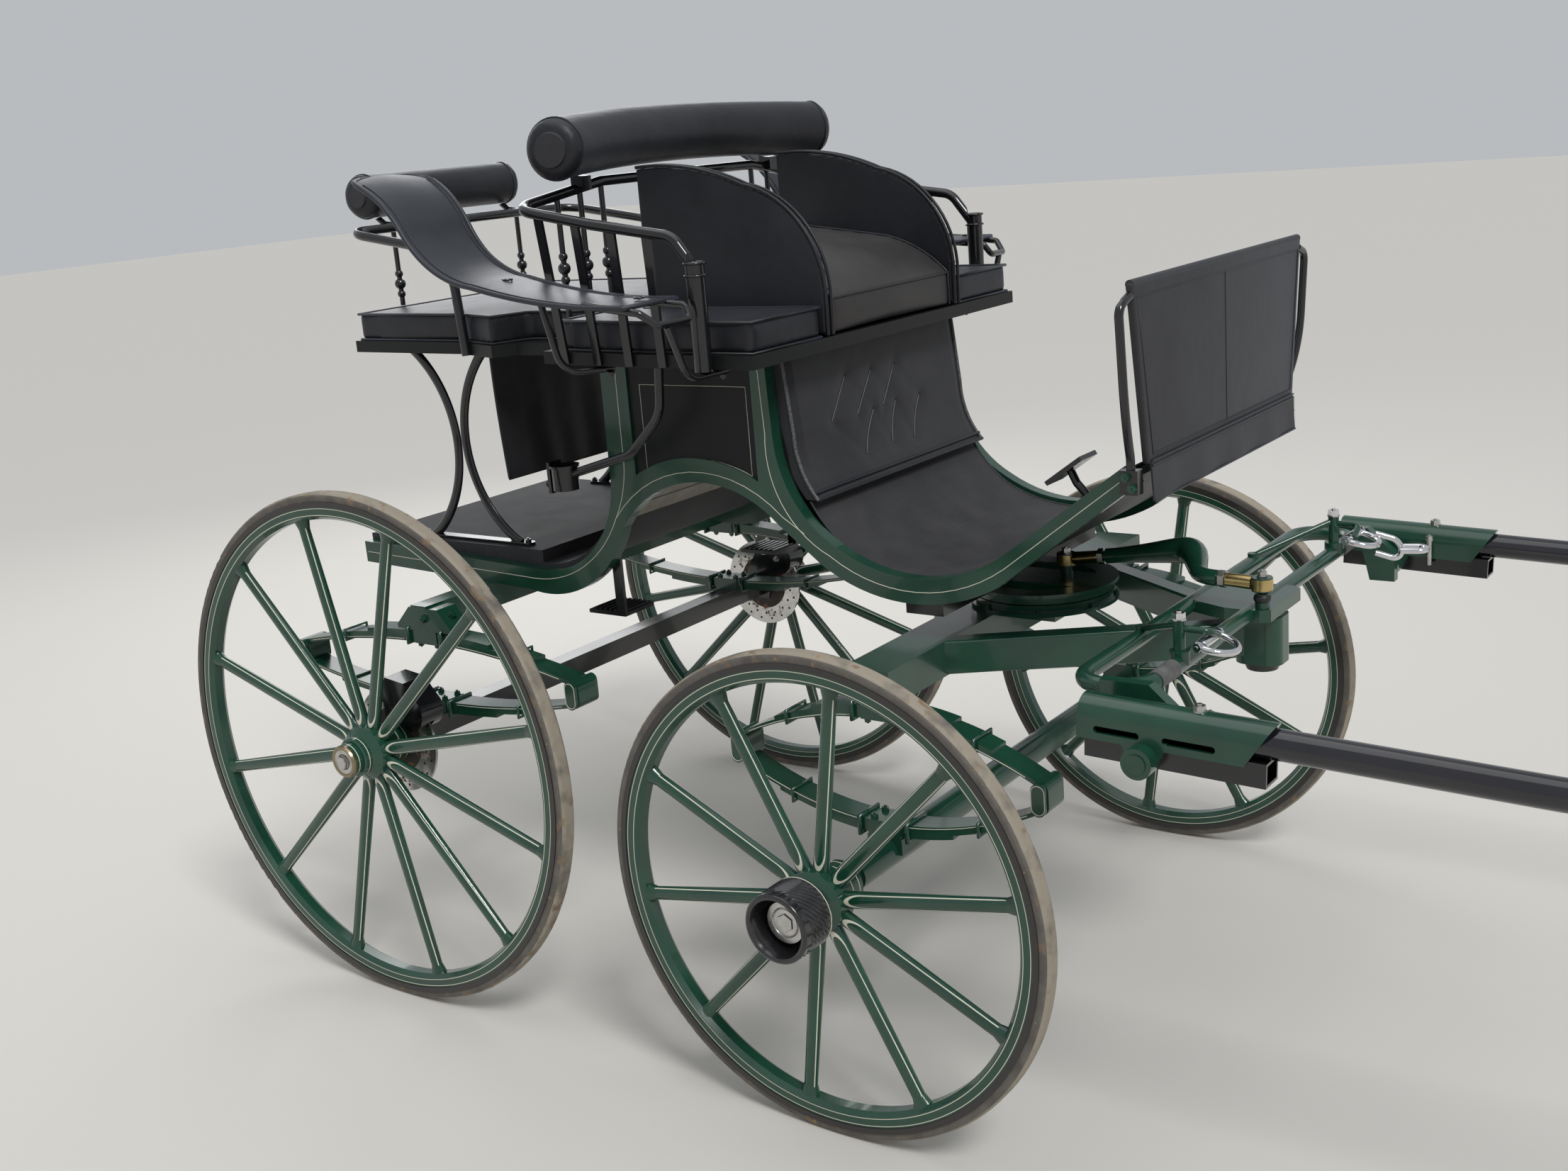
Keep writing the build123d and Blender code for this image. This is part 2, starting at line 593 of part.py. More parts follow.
# shafts: bent tubes clamped in slotted channels, each over a box that carries the hinge sleeve
SOCKET_SPOT = Pos(1515, -SHAFT_Y, 706) * Rot(0, 2, 0)
channel = Rot(0, 90, 0) * Cylinder(CHANNEL_OUT, 270)
channel += box(-135, 135, -CHANNEL_OUT, CHANNEL_OUT, -CHANNEL_OUT, 0)
channel -= Rot(0, 90, 0) * Cylinder(CHANNEL_IN, 280)
channel -= box(-140, 140, -CHANNEL_IN, CHANNEL_IN, -40, 0)
channel -= slab((137, 30), [(99, -30), (160, -30), (160, 30)], -40, 40)
for x, slot_len in ((-77, 66), (25, 74)):
    channel -= Pos(x, -20, -13) * extrude(Plane.XZ * SlotOverall(slot_len, 10), amount=14)
sleeve = cyl_y(HINGE_X, HINGE_Z, 22, -590, -490)
socket = SOCKET_SPOT * channel + sleeve
for low, high in ((-CHANNEL_OUT, -CHANNEL_IN), (CHANNEL_IN, CHANNEL_OUT)):
    socket += slab((1452, 664), [(1498, 664), (1510, 690), (1440, 690)], low - SHAFT_Y, high - SHAFT_Y)
socket -= cyl_y(HINGE_X, HINGE_Z, 14, -600, -480)
carrier = SOCKET_SPOT * box(-126, 128, -CHANNEL_IN, CHANNEL_IN, -56, -22)
carrier -= SOCKET_SPOT * box(-130, 132, -CHANNEL_IN + 4, CHANNEL_IN - 4, -52, -26)
carrier -= sleeve
shaft_points = [
    (1382, -SHAFT_Y, 710.6), (2000, -SHAFT_Y, 689), (2500, -520, 690), (2900, -440, 740),
    (SHAFT_TIP_X - SHAFT_R, -330, 800),
]
shaft = tube(shaft_points, SHAFT_R, [900, 900, 700])
shaft += Pos(SHAFT_TIP_X - SHAFT_R, -330, 800) * Sphere(SHAFT_R)
for piece, name in ((socket, "shaft_socket"), (carrier, "shaft_carrier"), (shaft, "shaft")):
    place(piece, f"{name}_right")
    place(mirror(piece, about=Plane.XZ), f"{name}_left")
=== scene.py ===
import math
import bmesh
import bpy
import numpy as np
from mathutils import Matrix, Vector


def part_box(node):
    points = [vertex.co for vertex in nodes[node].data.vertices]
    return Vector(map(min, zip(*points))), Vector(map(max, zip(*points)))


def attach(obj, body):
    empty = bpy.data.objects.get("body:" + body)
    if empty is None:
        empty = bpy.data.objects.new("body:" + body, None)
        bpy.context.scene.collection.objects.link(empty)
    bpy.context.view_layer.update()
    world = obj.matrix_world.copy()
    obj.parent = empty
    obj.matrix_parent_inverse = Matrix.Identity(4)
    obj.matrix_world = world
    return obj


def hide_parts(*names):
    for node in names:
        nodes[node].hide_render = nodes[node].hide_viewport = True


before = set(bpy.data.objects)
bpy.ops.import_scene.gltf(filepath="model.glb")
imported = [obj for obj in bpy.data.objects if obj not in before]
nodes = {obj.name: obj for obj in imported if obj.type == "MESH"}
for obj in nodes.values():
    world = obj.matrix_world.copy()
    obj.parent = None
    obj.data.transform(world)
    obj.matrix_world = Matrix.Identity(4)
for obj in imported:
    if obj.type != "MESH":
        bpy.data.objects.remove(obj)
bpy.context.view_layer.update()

# The studio: a pale floor under soft lamps, with the camera where the photographer stood.
# Places are given in millimetres forward of the rear axle, to the carriage's left and up from the ground,
# because that is how the carriage was measured.
axle_low, axle_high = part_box("rear_axle")
REAR_AXLE_X = (axle_low.x + axle_high.x) / 2


def spot(x, y, z):
    """A place in metres in the frame, from millimetres off the rear axle's ground point."""
    return Vector((REAR_AXLE_X + x / 1000, y / 1000, z / 1000))


def show(name, data):
    """Puts a mesh, curve, lamp or camera in the scene as an object."""
    thing = bpy.data.objects.new(name, data)
    bpy.context.scene.collection.objects.link(thing)
    return thing


CAMERA_SPOT = (2390.7, -2562.0, 1509.9)
CAMERA_YAW = math.radians(36.65)
CAMERA_PITCH = math.radians(14.81)
CAMERA_ROLL = math.radians(-4.68)
SENSOR_WIDTH = 36.0
FOCAL_LENGTH = 39.59
back = Vector((
    math.sin(CAMERA_YAW) * math.cos(CAMERA_PITCH),
    -math.cos(CAMERA_YAW) * math.cos(CAMERA_PITCH),
    math.sin(CAMERA_PITCH),
))
level_right = (-back).cross(Vector((0, 0, 1))).normalized()
level_up = level_right.cross(-back)
right = level_right * math.cos(CAMERA_ROLL) + level_up * math.sin(CAMERA_ROLL)
up = level_up * math.cos(CAMERA_ROLL) - level_right * math.sin(CAMERA_ROLL)
camera_data = bpy.data.cameras.new("camera")
camera_data.sensor_width = SENSOR_WIDTH
camera_data.lens = FOCAL_LENGTH
camera = show("camera", camera_data)
camera.matrix_world = Matrix.Translation(spot(*CAMERA_SPOT)) @ Matrix((right, up, back)).transposed().to_4x4()
bpy.context.scene.camera = camera

FLOOR_COLOUR = (0.62, 0.6, 0.56, 1)
FLOOR_HALF = 30
floor_material = bpy.data.materials.new("studio_floor")
floor_material.use_nodes = True
floor_shader = floor_material.node_tree.nodes["Principled BSDF"]
floor_shader.inputs["Base Color"].default_value = FLOOR_COLOUR
floor_shader.inputs["Roughness"].default_value = 0.85
floor_bm = bmesh.new()
bmesh.ops.create_grid(floor_bm, x_segments=1, y_segments=1, size=FLOOR_HALF)
floor_mesh = bpy.data.meshes.new("floor")
floor_bm.to_mesh(floor_mesh)
floor_bm.free()
floor_mesh.materials.append(floor_material)
floor = show("floor", floor_mesh)

WORLD_COLOUR = (0.93, 0.96, 1.0, 1)
WORLD_STRENGTH = 0.52
world = bpy.data.worlds.new("studio")
world.use_nodes = True
bpy.context.scene.world = world
world.node_tree.nodes["Background"].inputs["Color"].default_value = WORLD_COLOUR
world.node_tree.nodes["Background"].inputs["Strength"].default_value = WORLD_STRENGTH
# name, kind, place, width in metres or degrees for a sun, strength
LAMPS = [
    ("key_lamp", "SUN", (3200, -1500, 4200), 16, 1.7),
    ("sky_lamp", "AREA", (200, -400, 4600), 4.0, 40),
    ("fill_lamp", "AREA", (-2600, 2600, 2800), 2.6, 40),
]
for lamp_name, lamp_kind, lamp_spot, lamp_width, lamp_strength in LAMPS:
    lamp_data = bpy.data.lights.new(lamp_name, lamp_kind)
    if lamp_kind == "SUN":
        lamp_data.angle = math.radians(lamp_width)
    else:
        lamp_data.shape = "DISK"
        lamp_data.size = lamp_width
    lamp_data.energy = lamp_strength
    lamp = show(lamp_name, lamp_data)
    lamp.location = spot(*lamp_spot)
    aim = spot(600, 0, 700) - lamp.location
    lamp.rotation_euler = aim.to_track_quat("-Z", "Y").to_euler()
bpy.context.scene.view_settings.view_transform = "Standard"


# Green coach paint: the wheels, springs, side frames and draft gear. Brushed enamel under clear varnish,
# with a faint cloudiness and fine dust in the gloss.
def feed(tree, target, values):
    """Sets a node's inputs: numbers and colours as they are, and other nodes' outputs as links."""
    for key, value in values.items():
        if isinstance(value, bpy.types.NodeSocket):
            tree.links.new(value, target.inputs[key])
        else:
            target.inputs[key].default_value = value


def add_node(tree, kind, values):
    """Adds a node to a material and sets its inputs."""
    made = tree.nodes.new("ShaderNode" + kind)
    feed(tree, made, values)
    return made


def finish(
    name, light, dark, grain, roughness, spread=0.08, metal=0.0, coat=0.0, relief=0.02, relief_grain=400.0,
):
    """A material that clouds between two colours, with uneven gloss and a fine relief."""
    material = bpy.data.materials.new(name)
    material.use_nodes = True
    tree = material.node_tree
    place = tree.nodes.new("ShaderNodeTexCoord").outputs["Object"]
    cloud = add_node(tree, "TexNoise", {"Scale": grain, "Detail": 6.0, "Roughness": 0.6, "Vector": place})
    colours = add_node(tree, "ValToRGB", {"Fac": cloud.outputs["Fac"]})
    for element, position, colour in zip(colours.color_ramp.elements, (0.32, 0.68), (dark, light)):
        element.position = position
        element.color = (*colour, 1)
    gloss = add_node(tree, "MapRange", {
        "Value": cloud.outputs["Fac"],
        "To Min": max(0.02, roughness - spread),
        "To Max": min(1.0, roughness + spread),
    })
    fine = add_node(tree, "TexNoise", {"Scale": relief_grain, "Detail": 3.0, "Vector": place})
    bump = add_node(tree, "Bump", {"Strength": relief, "Distance": 0.001, "Height": fine.outputs["Fac"]})
    bump.name = "bump"
    feed(tree, tree.nodes["Principled BSDF"], {
        "Base Color": colours.outputs["Color"],
        "Roughness": gloss.outputs["Result"],
        "Normal": bump.outputs["Normal"],
        "Metallic": metal,
        "Coat Weight": coat,
        "Coat Roughness": 0.06,
    })
    return material


def paint(material, *names):
    """Gives CAD nodes their finish."""
    for node_name in names:
        mesh = nodes[node_name].data
        mesh.materials.clear()
        mesh.materials.append(material)


GREEN = (0.010, 0.060, 0.035)
GREEN_DARK = (0.006, 0.040, 0.024)
green_paint = finish("green_paint", GREEN, GREEN_DARK, 9, 0.24, coat=0.3)
paint(
    green_paint, "side_frame_right", "side_frame_left", "rear_springs", "front_springs", "rear_member",
    "upper_turntable", "lower_turntable", "fore_frame", "front_axle", "draft_frame", "trace_shackles",
    "steering_link", "shaft_socket_right", "shaft_socket_left",
)

# Black coach paint: gloss enamel on the steel rails, irons and rear axle, with a softer black on the ply
# boards and a deep varnished black on the shafts.
black_paint = finish("black_paint", (0.010, 0.010, 0.012), (0.005, 0.005, 0.006), 14, 0.2, coat=0.35)
paint(
    black_paint, "seat_rail", "rear_rail", "mudguard_irons", "dash_irons", "footboard_irons", "steps",
    "lamp_socket", "front_member", "rear_axle", "brake_pedal", "brake_calipers", "whip_sockets",
    "shaft_carrier_right", "shaft_carrier_left",
)
board_black = finish("board_black", (0.010, 0.011, 0.011), (0.006, 0.007, 0.007), 12, 0.42)
board_black.node_tree.nodes["Principled BSDF"].inputs["Specular IOR Level"].default_value = 0.25
paint(board_black, "seat_board", "front_floor")
shaft_paint = finish("shaft_paint", (0.012, 0.011, 0.016), (0.006, 0.006, 0.009), 10, 0.12, 0.05, coat=0.5)
paint(shaft_paint, "shaft_right", "shaft_left")


# Wheels: ash spokes and felloes in a channelled steel rim, enamelled green and lined in cream by hand: a loop
# on both faces of each spoke, and two rings each on the rim and the hub. Here the lines are part of the
# finish. The tyres are clamped solid rubber.
class Term:
    """A value inside a material, taken from a node's output, that sums can be written with."""

    def __init__(self, tree, output):
        self.tree = tree
        self.output = output

    def __add__(self, other):
        return calc("ADD", self, other)

    def __sub__(self, other):
        return calc("SUBTRACT", self, other)

    def __rsub__(self, other):
        return calc("SUBTRACT", other, self)

    def __mul__(self, other):
        return calc("MULTIPLY", self, other)


def calc(operation, *values):
    """One operation inside a material, on terms and numbers."""
    tree = next(value.tree for value in values if isinstance(value, Term))
    node = tree.nodes.new("ShaderNodeMath")
    node.operation = operation
    for socket, value in zip(node.inputs, values):
        if isinstance(value, Term):
            tree.links.new(value.output, socket)
        else:
            socket.default_value = value
    return Term(tree, node.outputs[0])


def either(first, second):
    """A mask that is 1 where one of two masks is."""
    return calc("MAXIMUM", first, second)


def overlay(material, mask, colour, metal=None, roughness=None):
    """Lays a second colour, and if given its metal and gloss, over a material where the mask is 1."""
    tree = material.node_tree
    shader = tree.nodes["Principled BSDF"]
    mix = tree.nodes.new("ShaderNodeMix")
    mix.data_type = "RGBA"
    feed(tree, mix, {0: mask.output, 6: shader.inputs["Base Color"].links[0].from_socket, 7: (*colour, 1)})
    feed(tree, shader, {"Base Color": mix.outputs[2]})
    for socket_name, value in (("Metallic", metal), ("Roughness", roughness)):
        if value is None:
            continue
        socket = shader.inputs[socket_name]
        before = Term(tree, socket.links[0].from_socket) if socket.links else socket.default_value
        feed(tree, shader, {socket_name: ((1.0 - mask) * before + mask * value).output})


def patches(tree, scale, low, high):
    """A mask of soft patches, 0 where the noise is under low and 1 where it is over high."""
    place = tree.nodes["Texture Coordinate"].outputs["Object"]
    noise = add_node(tree, "TexNoise", {"Scale": scale, "Detail": 5.0, "Vector": place})
    step = add_node(tree, "MapRange", {"From Min": low, "From Max": high, "Value": noise.outputs["Fac"]})
    return Term(tree, step.outputs["Result"])


def axes(tree):
    """A surface point's x, y and z in the frame, in metres."""
    split = add_node(tree, "SeparateXYZ", {0: tree.nodes["Texture Coordinate"].outputs["Object"]})
    return [Term(tree, output) for output in split.outputs]


def wheel_places(tree, hub):
    """A surface point's reach from the axle, angle from upright and distance from the wheel's middle plane."""
    x, y, z = axes(tree)
    forward = x - hub.x
    sideways = calc("ABSOLUTE", y - hub.y)
    upward = z - hub.z
    return calc("SQRT", forward * forward + upward * upward), calc("ARCTAN2", forward, upward), sideways


def wrapped(angle, first, pitch):
    """The angle from the nearest of several evenly spaced ones, of which the first is given."""
    return calc("WRAP", angle - first, pitch / 2, -pitch / 2)


CREAM = (0.62, 0.61, 0.50)
HALF_TRACK = 640
REAR_R = 480
FRONT_R = 390
FRONT_X = 980
LOOP_START = 0.082
LOOP_NARROW = 0.36
SPOKE_LINE = 0.0096
LINE_HALF = 0.0006
HUB_LINE_HALF = 0.0009
# end, radius, axle x, number of spokes, turn of the first spoke from upright
WHEELS = [("rear", REAR_R, 0, 12, 16.9), ("front", FRONT_R, FRONT_X, 10, 8)]
SIDES = [("right", -1), ("left", 1)]
for end, radius, axle_x, spokes, phase in WHEELS:
    rim_out = (radius - 20) / 1000
    rim_in = rim_out - 0.028
    for side, sign in SIDES:
        hub = spot(axle_x, sign * HALF_TRACK, radius)
        lined = finish(f"lined_{end}_{side}", GREEN, GREEN_DARK, 9, 0.22, coat=0.4)
        reach, angle, sideways = wheel_places(lined.node_tree, hub)
        turn = wrapped(angle, math.radians(phase), math.tau / spokes)
        across = reach * calc("SINE", turn)
        along = reach * calc("COSINE", turn)
        short = calc("MAXIMUM", LOOP_START - along, 0.0)
        nose = short * LOOP_NARROW
        off_line = calc("SQRT", across * across + nose * nose)
        brush = short * 0.035 + LINE_HALF
        spoke_line = calc("COMPARE", off_line, SPOKE_LINE, brush) * calc("LESS_THAN", along, rim_in - 0.014)
        rings = either(*[calc("COMPARE", reach, r, LINE_HALF) for r in (rim_in + 0.0085, rim_out - 0.0075)])
        rim_lines = rings * calc("GREATER_THAN", sideways, 0.0150)
        bands = either(*[calc("COMPARE", sideways, y, HUB_LINE_HALF) for y in (0.036, 0.053)])
        hub_lines = bands * calc("LESS_THAN", reach, 0.048)
        overlay(lined, either(either(spoke_line, rim_lines), hub_lines), CREAM)
        overlay(lined, calc("GREATER_THAN", reach, rim_out - 0.0045), (0.035, 0.032, 0.03), 0.4, 0.45)
        paint(lined, f"{end}_wheel_{side}")

        rubber = finish(
            f"rubber_{end}_{side}", (0.145, 0.130, 0.112), (0.085, 0.077, 0.070), 26, 0.8, 0.1, relief=0.6,
            relief_grain=140,
        )
        tree = rubber.node_tree
        reach, angle, sideways = wheel_places(tree, hub)
        on_tread = calc("GREATER_THAN", reach, radius / 1000 - 0.0035)
        overlay(rubber, on_tread * patches(tree, 22, 0.25, 0.5), (0.29, 0.255, 0.20))
        overlay(rubber, patches(tree, 34, 0.6, 0.68), (0.20, 0.14, 0.085))
        overlay(rubber, patches(tree, 58, 0.66, 0.72), (0.31, 0.19, 0.09))
        paint(rubber, f"{end}_tyre_{side}")


# Hub caps: the rear ones are screwed brass, plated on the face, over a green barrel. The front ones are deep
# knurled drums in black, with a plated cap and its hexagon at the bottom.
def add_piece(name, mesh, material, body):
    """Puts a mesh in the scene as a piece that rides on a body."""
    mesh.materials.clear()
    mesh.materials.append(material)
    piece = show(name, mesh)
    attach(piece, body)
    return piece


def piece_from(name, bm, material, body):
    """Turns finished mesh work into a piece, with edges over 35 degrees kept sharp."""
    bm.normal_update()
    bmesh.ops.recalc_face_normals(bm, faces=bm.faces)
    for edge in bm.edges:
        edge.smooth = len(edge.link_faces) == 2 and edge.calc_face_angle(0.0) < math.radians(35)
    for face in bm.faces:
        face.smooth = True
    mesh = bpy.data.meshes.new(name)
    bm.to_mesh(mesh)
    bm.free()
    return add_piece(name, mesh, material, body)


def mesh_of(thing):
    """The mesh of an object that has just been made, with its modifiers or its bevel. The object goes."""
    bpy.context.view_layer.update()
    mesh = bpy.data.meshes.new_from_object(thing.evaluated_get(bpy.context.evaluated_depsgraph_get()))
    bpy.data.objects.remove(thing)
    return mesh


def thread(name, runs, radius, material, body, slot_name, closed=False, sides=2, swell=None):
    """Round threads along runs of points, for painted lines, piping and bent wire, with a radius in millimetres.

    Where it swells and thins, swell gives the radius's factor at each point, and the run is a smooth bend.
    """
    curve = bpy.data.curves.new(name, "CURVE")
    curve.dimensions = "3D"
    curve.bevel_depth = radius / 1000
    curve.bevel_resolution = sides
    curve.use_fill_caps = True
    for run in runs:
        spline = curve.splines.new("NURBS" if swell else "POLY")
        spline.points.add(len(run) - 1)
        for point, place, factor in zip(spline.points, run, swell or [1.0] * len(run)):
            point.co = (*place, 1)
            point.radius = factor
        spline.use_cyclic_u = closed
        if swell:
            spline.order_u = 4
            spline.use_endpoint_u = True
    mesh = mesh_of(show(name + "_drawn", curve))
    mesh.shade_smooth()
    return add_piece(name, mesh, material, body)


def circle(radius, count):
    """Pairs of places round a circle."""
    turns = [math.tau * i / count for i in range(count)]
    return [(radius * math.cos(turn), radius * math.sin(turn)) for turn in turns]


def rod(bm, segments, low_radius, high_radius, length, matrix):
    """Adds a closed rod or cone, with its middle where the matrix puts it. Sizes are in millimetres."""
    bmesh.ops.create_cone(
        bm, cap_ends=True, segments=segments, radius1=low_radius / 1000, radius2=high_radius / 1000,
        depth=length / 1000, matrix=matrix,
    )


def verts_of(geom):
    """The points among the parts that a mesh operation gives back."""
    return [part for part in geom if isinstance(part, bmesh.types.BMVert)]


for side, sign in SIDES:
    cap = finish(f"cap_rear_{side}", (0.60, 0.59, 0.57), (0.44, 0.43, 0.41), 80, 0.2, metal=1.0)
    reach, angle, sideways = wheel_places(cap.node_tree, spot(0, sign * HALF_TRACK, REAR_R))
    overlay(cap, calc("GREATER_THAN", reach, 0.0225), (0.30, 0.25, 0.16), 1.0, 0.3)
    overlay(cap, calc("COMPARE", reach, 0.0135, 0.0012), (0.10, 0.09, 0.07), 0.8, 0.4)
    overlay(cap, calc("LESS_THAN", sideways, 0.0605), GREEN, 0.0, 0.22)
    overlay(cap, calc("COMPARE", sideways, 0.0545, HUB_LINE_HALF), CREAM, 0.0, 0.35)
    paint(cap, f"rear_hub_cap_{side}")

KNURL_R = 54.0
KNURL_OUT = 1.9
KNURL_TEETH = 60
KNURL_ROWS = 12
KNURL_PITCH = 52.0 / KNURL_ROWS / 1000
# the plated cap's half section as (radius, outward) places, with a groove round its face
CAP_SECTION = [(0, 90), (20.5, 90), (22, 87.5), (24, 90), (32.5, 90), (34.5, 87.5), (34.5, 61)]
DRUM_BLACK = ((0.02, 0.02, 0.022), (0.012, 0.012, 0.013))
cream_paint = finish("cream_paint", CREAM, (0.52, 0.51, 0.42), 60, 0.35, coat=0.3)
steel = finish("bright_steel", (0.62, 0.61, 0.59), (0.45, 0.44, 0.42), 60, 0.26, metal=1.0)
drum_black = finish("drum_black", *DRUM_BLACK, 40, 0.22, coat=0.4)
# name, radius, outward from the wheel's middle, wire radius, finish
DRUM_RINGS = [("line", 54.6, 50, 0.8, cream_paint), ("lip", 50.2, 113, 4.6, drum_black)]
for side, sign in SIDES:
    wheel = f"front_wheel_{side}"
    paint(finish(f"cap_front_{side}", *DRUM_BLACK, 40, 0.18, coat=0.5), f"front_hub_cap_{side}")
    bm = bmesh.new()
    bmesh.ops.create_circle(bm, segments=KNURL_TEETH, radius=KNURL_R / 1000)
    for row in range(KNURL_ROWS):
        edges = [e for e in bm.edges if all(abs(v.co.z - row * KNURL_PITCH) < 1e-6 for v in e.verts)]
        grown = bmesh.ops.extrude_edge_only(bm, edges=edges)["geom"]
        bmesh.ops.translate(bm, verts=verts_of(grown), vec=(0, 0, KNURL_PITCH))
    for vert in bm.verts:
        tooth = round(math.atan2(vert.co.y, vert.co.x) / math.tau * KNURL_TEETH)
        level = round(vert.co.z / KNURL_PITCH)
        out = KNURL_OUT if (tooth + level) % 2 and 0 < level < KNURL_ROWS else 0.05
        vert.co.xy *= (KNURL_R + out) / KNURL_R
    lay = Matrix.Rotation(math.pi / 2 * -sign, 4, "X")
    start = spot(FRONT_X, sign * (HALF_TRACK + 50), FRONT_R)
    bmesh.ops.transform(bm, matrix=Matrix.Translation(start) @ lay, verts=bm.verts)
    knurl = piece_from(f"knurl_{side}", bm, drum_black, wheel)
    knurl.data.shade_flat()
    for ring_kind, ring_r, out, wire_r, ring_finish in DRUM_RINGS:
        ring = [spot(FRONT_X + dx, sign * (HALF_TRACK + out), FRONT_R + dz) for dx, dz in circle(ring_r, 64)]
        ring_name = f"drum_{ring_kind}_{side}"
        thread(ring_name, [ring], wire_r, ring_finish, wheel, "black_plastic", closed=True, sides=3)
    bm = bmesh.new()
    chain = [bm.verts.new((r / 1000, 0, out / 1000)) for r, out in CAP_SECTION]
    for pair in zip(chain, chain[1:]):
        bm.edges.new(pair)
    bmesh.ops.spin(
        bm, geom=bm.verts[:] + bm.edges[:], cent=(0, 0, 0), axis=(0, 0, 1), angle=math.tau, steps=56,
        use_merge=True, use_duplicate=False,
    )
    bmesh.ops.remove_doubles(bm, verts=bm.verts, dist=0.00001)
    bmesh.ops.holes_fill(bm, edges=bm.edges, sides=0)
    rod(bm, 6, 15.0, 13.8, 2.4, Matrix.Translation((0, 0, 0.0910)))
    hub = spot(FRONT_X, sign * HALF_TRACK, FRONT_R)
    bmesh.ops.transform(bm, matrix=Matrix.Translation(hub) @ lay, verts=bm.verts)
    piece_from(f"drum_cap_{side}", bm, steel, wheel)

# Brakes: plain steel discs, polished where the pads run and rusty inside, drilled in two rows. The holes are not
# cut: they are near-black dots, painted shade standing in for the drilled holes. The calipers are black, bolted
# up with zinc screws.
DISC_HOLES = 18
DISC_PITCH = math.tau / DISC_HOLES
HOLE_R = 0.0028
for side, sign in SIDES:
    disc = finish(f"disc_{side}", (0.66, 0.65, 0.63), (0.48, 0.47, 0.45), 50, 0.22, metal=1.0)
    reach, angle, sideways = wheel_places(disc.node_tree, spot(0, sign * HALF_TRACK, REAR_R))
    overlay(disc, calc("LESS_THAN", reach, 0.062), (0.045, 0.038, 0.032), 0.3, 0.6)
    rusty = calc("LESS_THAN", reach, 0.084) * patches(disc.node_tree, 60, 0.55, 0.66)
    overlay(disc, rusty, (0.20, 0.10, 0.05), 0.1, 0.8)
    # Painted shade: each hole is a near-black dot in the finish, not a cut through the disc.
    for row_reach, shift in ((0.076, 0.0), (0.089, DISC_PITCH / 2)):
        across = reach * calc("SINE", wrapped(angle, shift, DISC_PITCH))
        beside = reach - row_reach
        off = across * across + beside * beside
        overlay(disc, calc("LESS_THAN", off, HOLE_R ** 2), (0.01, 0.01, 0.01), 0.0, 0.8)
    paint(disc, f"rear_disc_{side}")


def facing(where, axis, roll="Y"):
    """The matrix that puts work drawn up the Z axis at a place, along an axis."""
    return Matrix.Translation(where) @ Vector(axis).to_track_quat("Z", roll).to_matrix().to_4x4()


def bolt(bm, where, axis, across, height):
    """Adds a hex head on a round washer. Sizes are in millimetres and the axis points out of the work."""
    seat = facing(where, axis, "X")
    wide = across / 2 / math.cos(math.pi / 6)
    for segments, r1, r2, low, high in (
        (20, across * 0.64, across * 0.64, 0.0, 1.6),
        (6, wide, wide * 0.96, 1.6, 1.6 + height),
        (12, across * 0.28, across * 0.22, 1.6, 4 + height),
    ):
        rod(bm, segments, r1, r2, high - low, seat @ Matrix.Translation((0, 0, (low + high) / 2000)))


def bolts(name, heads, material, body):
    """One piece of bolts, each given by its place, axis, size over the flats and height."""
    bm = bmesh.new()
    for where, axis, across, height in heads:
        bolt(bm, spot(*where), axis, across, height)
    piece_from(name, bm, material, body)


SCREWS = ((28, 562), (62, 548), (44, 594))
heads = [((x, sign * 548, z), (0, -sign, 0), 11, 5) for side, sign in SIDES for x, z in SCREWS]
bolts("caliper_screws", heads, steel, "body")


# Springs: elliptic leaf springs, lined along the main leaf, with wire clips and U-bolts round the packs and
# hex bolts on the clamps. Where the leaves meet, a rounded nose, lined at its edge, fills the gap between the
# plates.
def thicken(bm, travel):
    """Draws flat work out to a closed form, along a travel in millimetres."""
    grown = bmesh.ops.extrude_face_region(bm, geom=bm.faces[:])["geom"]
    bmesh.ops.translate(bm, verts=verts_of(grown), vec=Vector(travel) / 1000)


def grown_solid(outline, travel):
    """A closed form from a flat outline of places, drawn out along a travel in millimetres."""
    bm = bmesh.new()
    bm.faces.new([bm.verts.new(place) for place in outline])
    thicken(bm, travel)
    bmesh.ops.recalc_face_normals(bm, faces=bm.faces)
    return bm


def nose_outline(x, y, z, half, rise):
    """Places round an upright slot, half as wide as given and rising that much above and below its middle."""
    ends = [(rise, 0), (-rise, math.pi)]
    return [
        spot(x + half * math.cos(a0 + a), y, z + lift + half * math.sin(a0 + a))
        for lift, a0 in ends for a in [math.pi * i / 12 for i in range(13)]
    ]


SPRING_W = 45
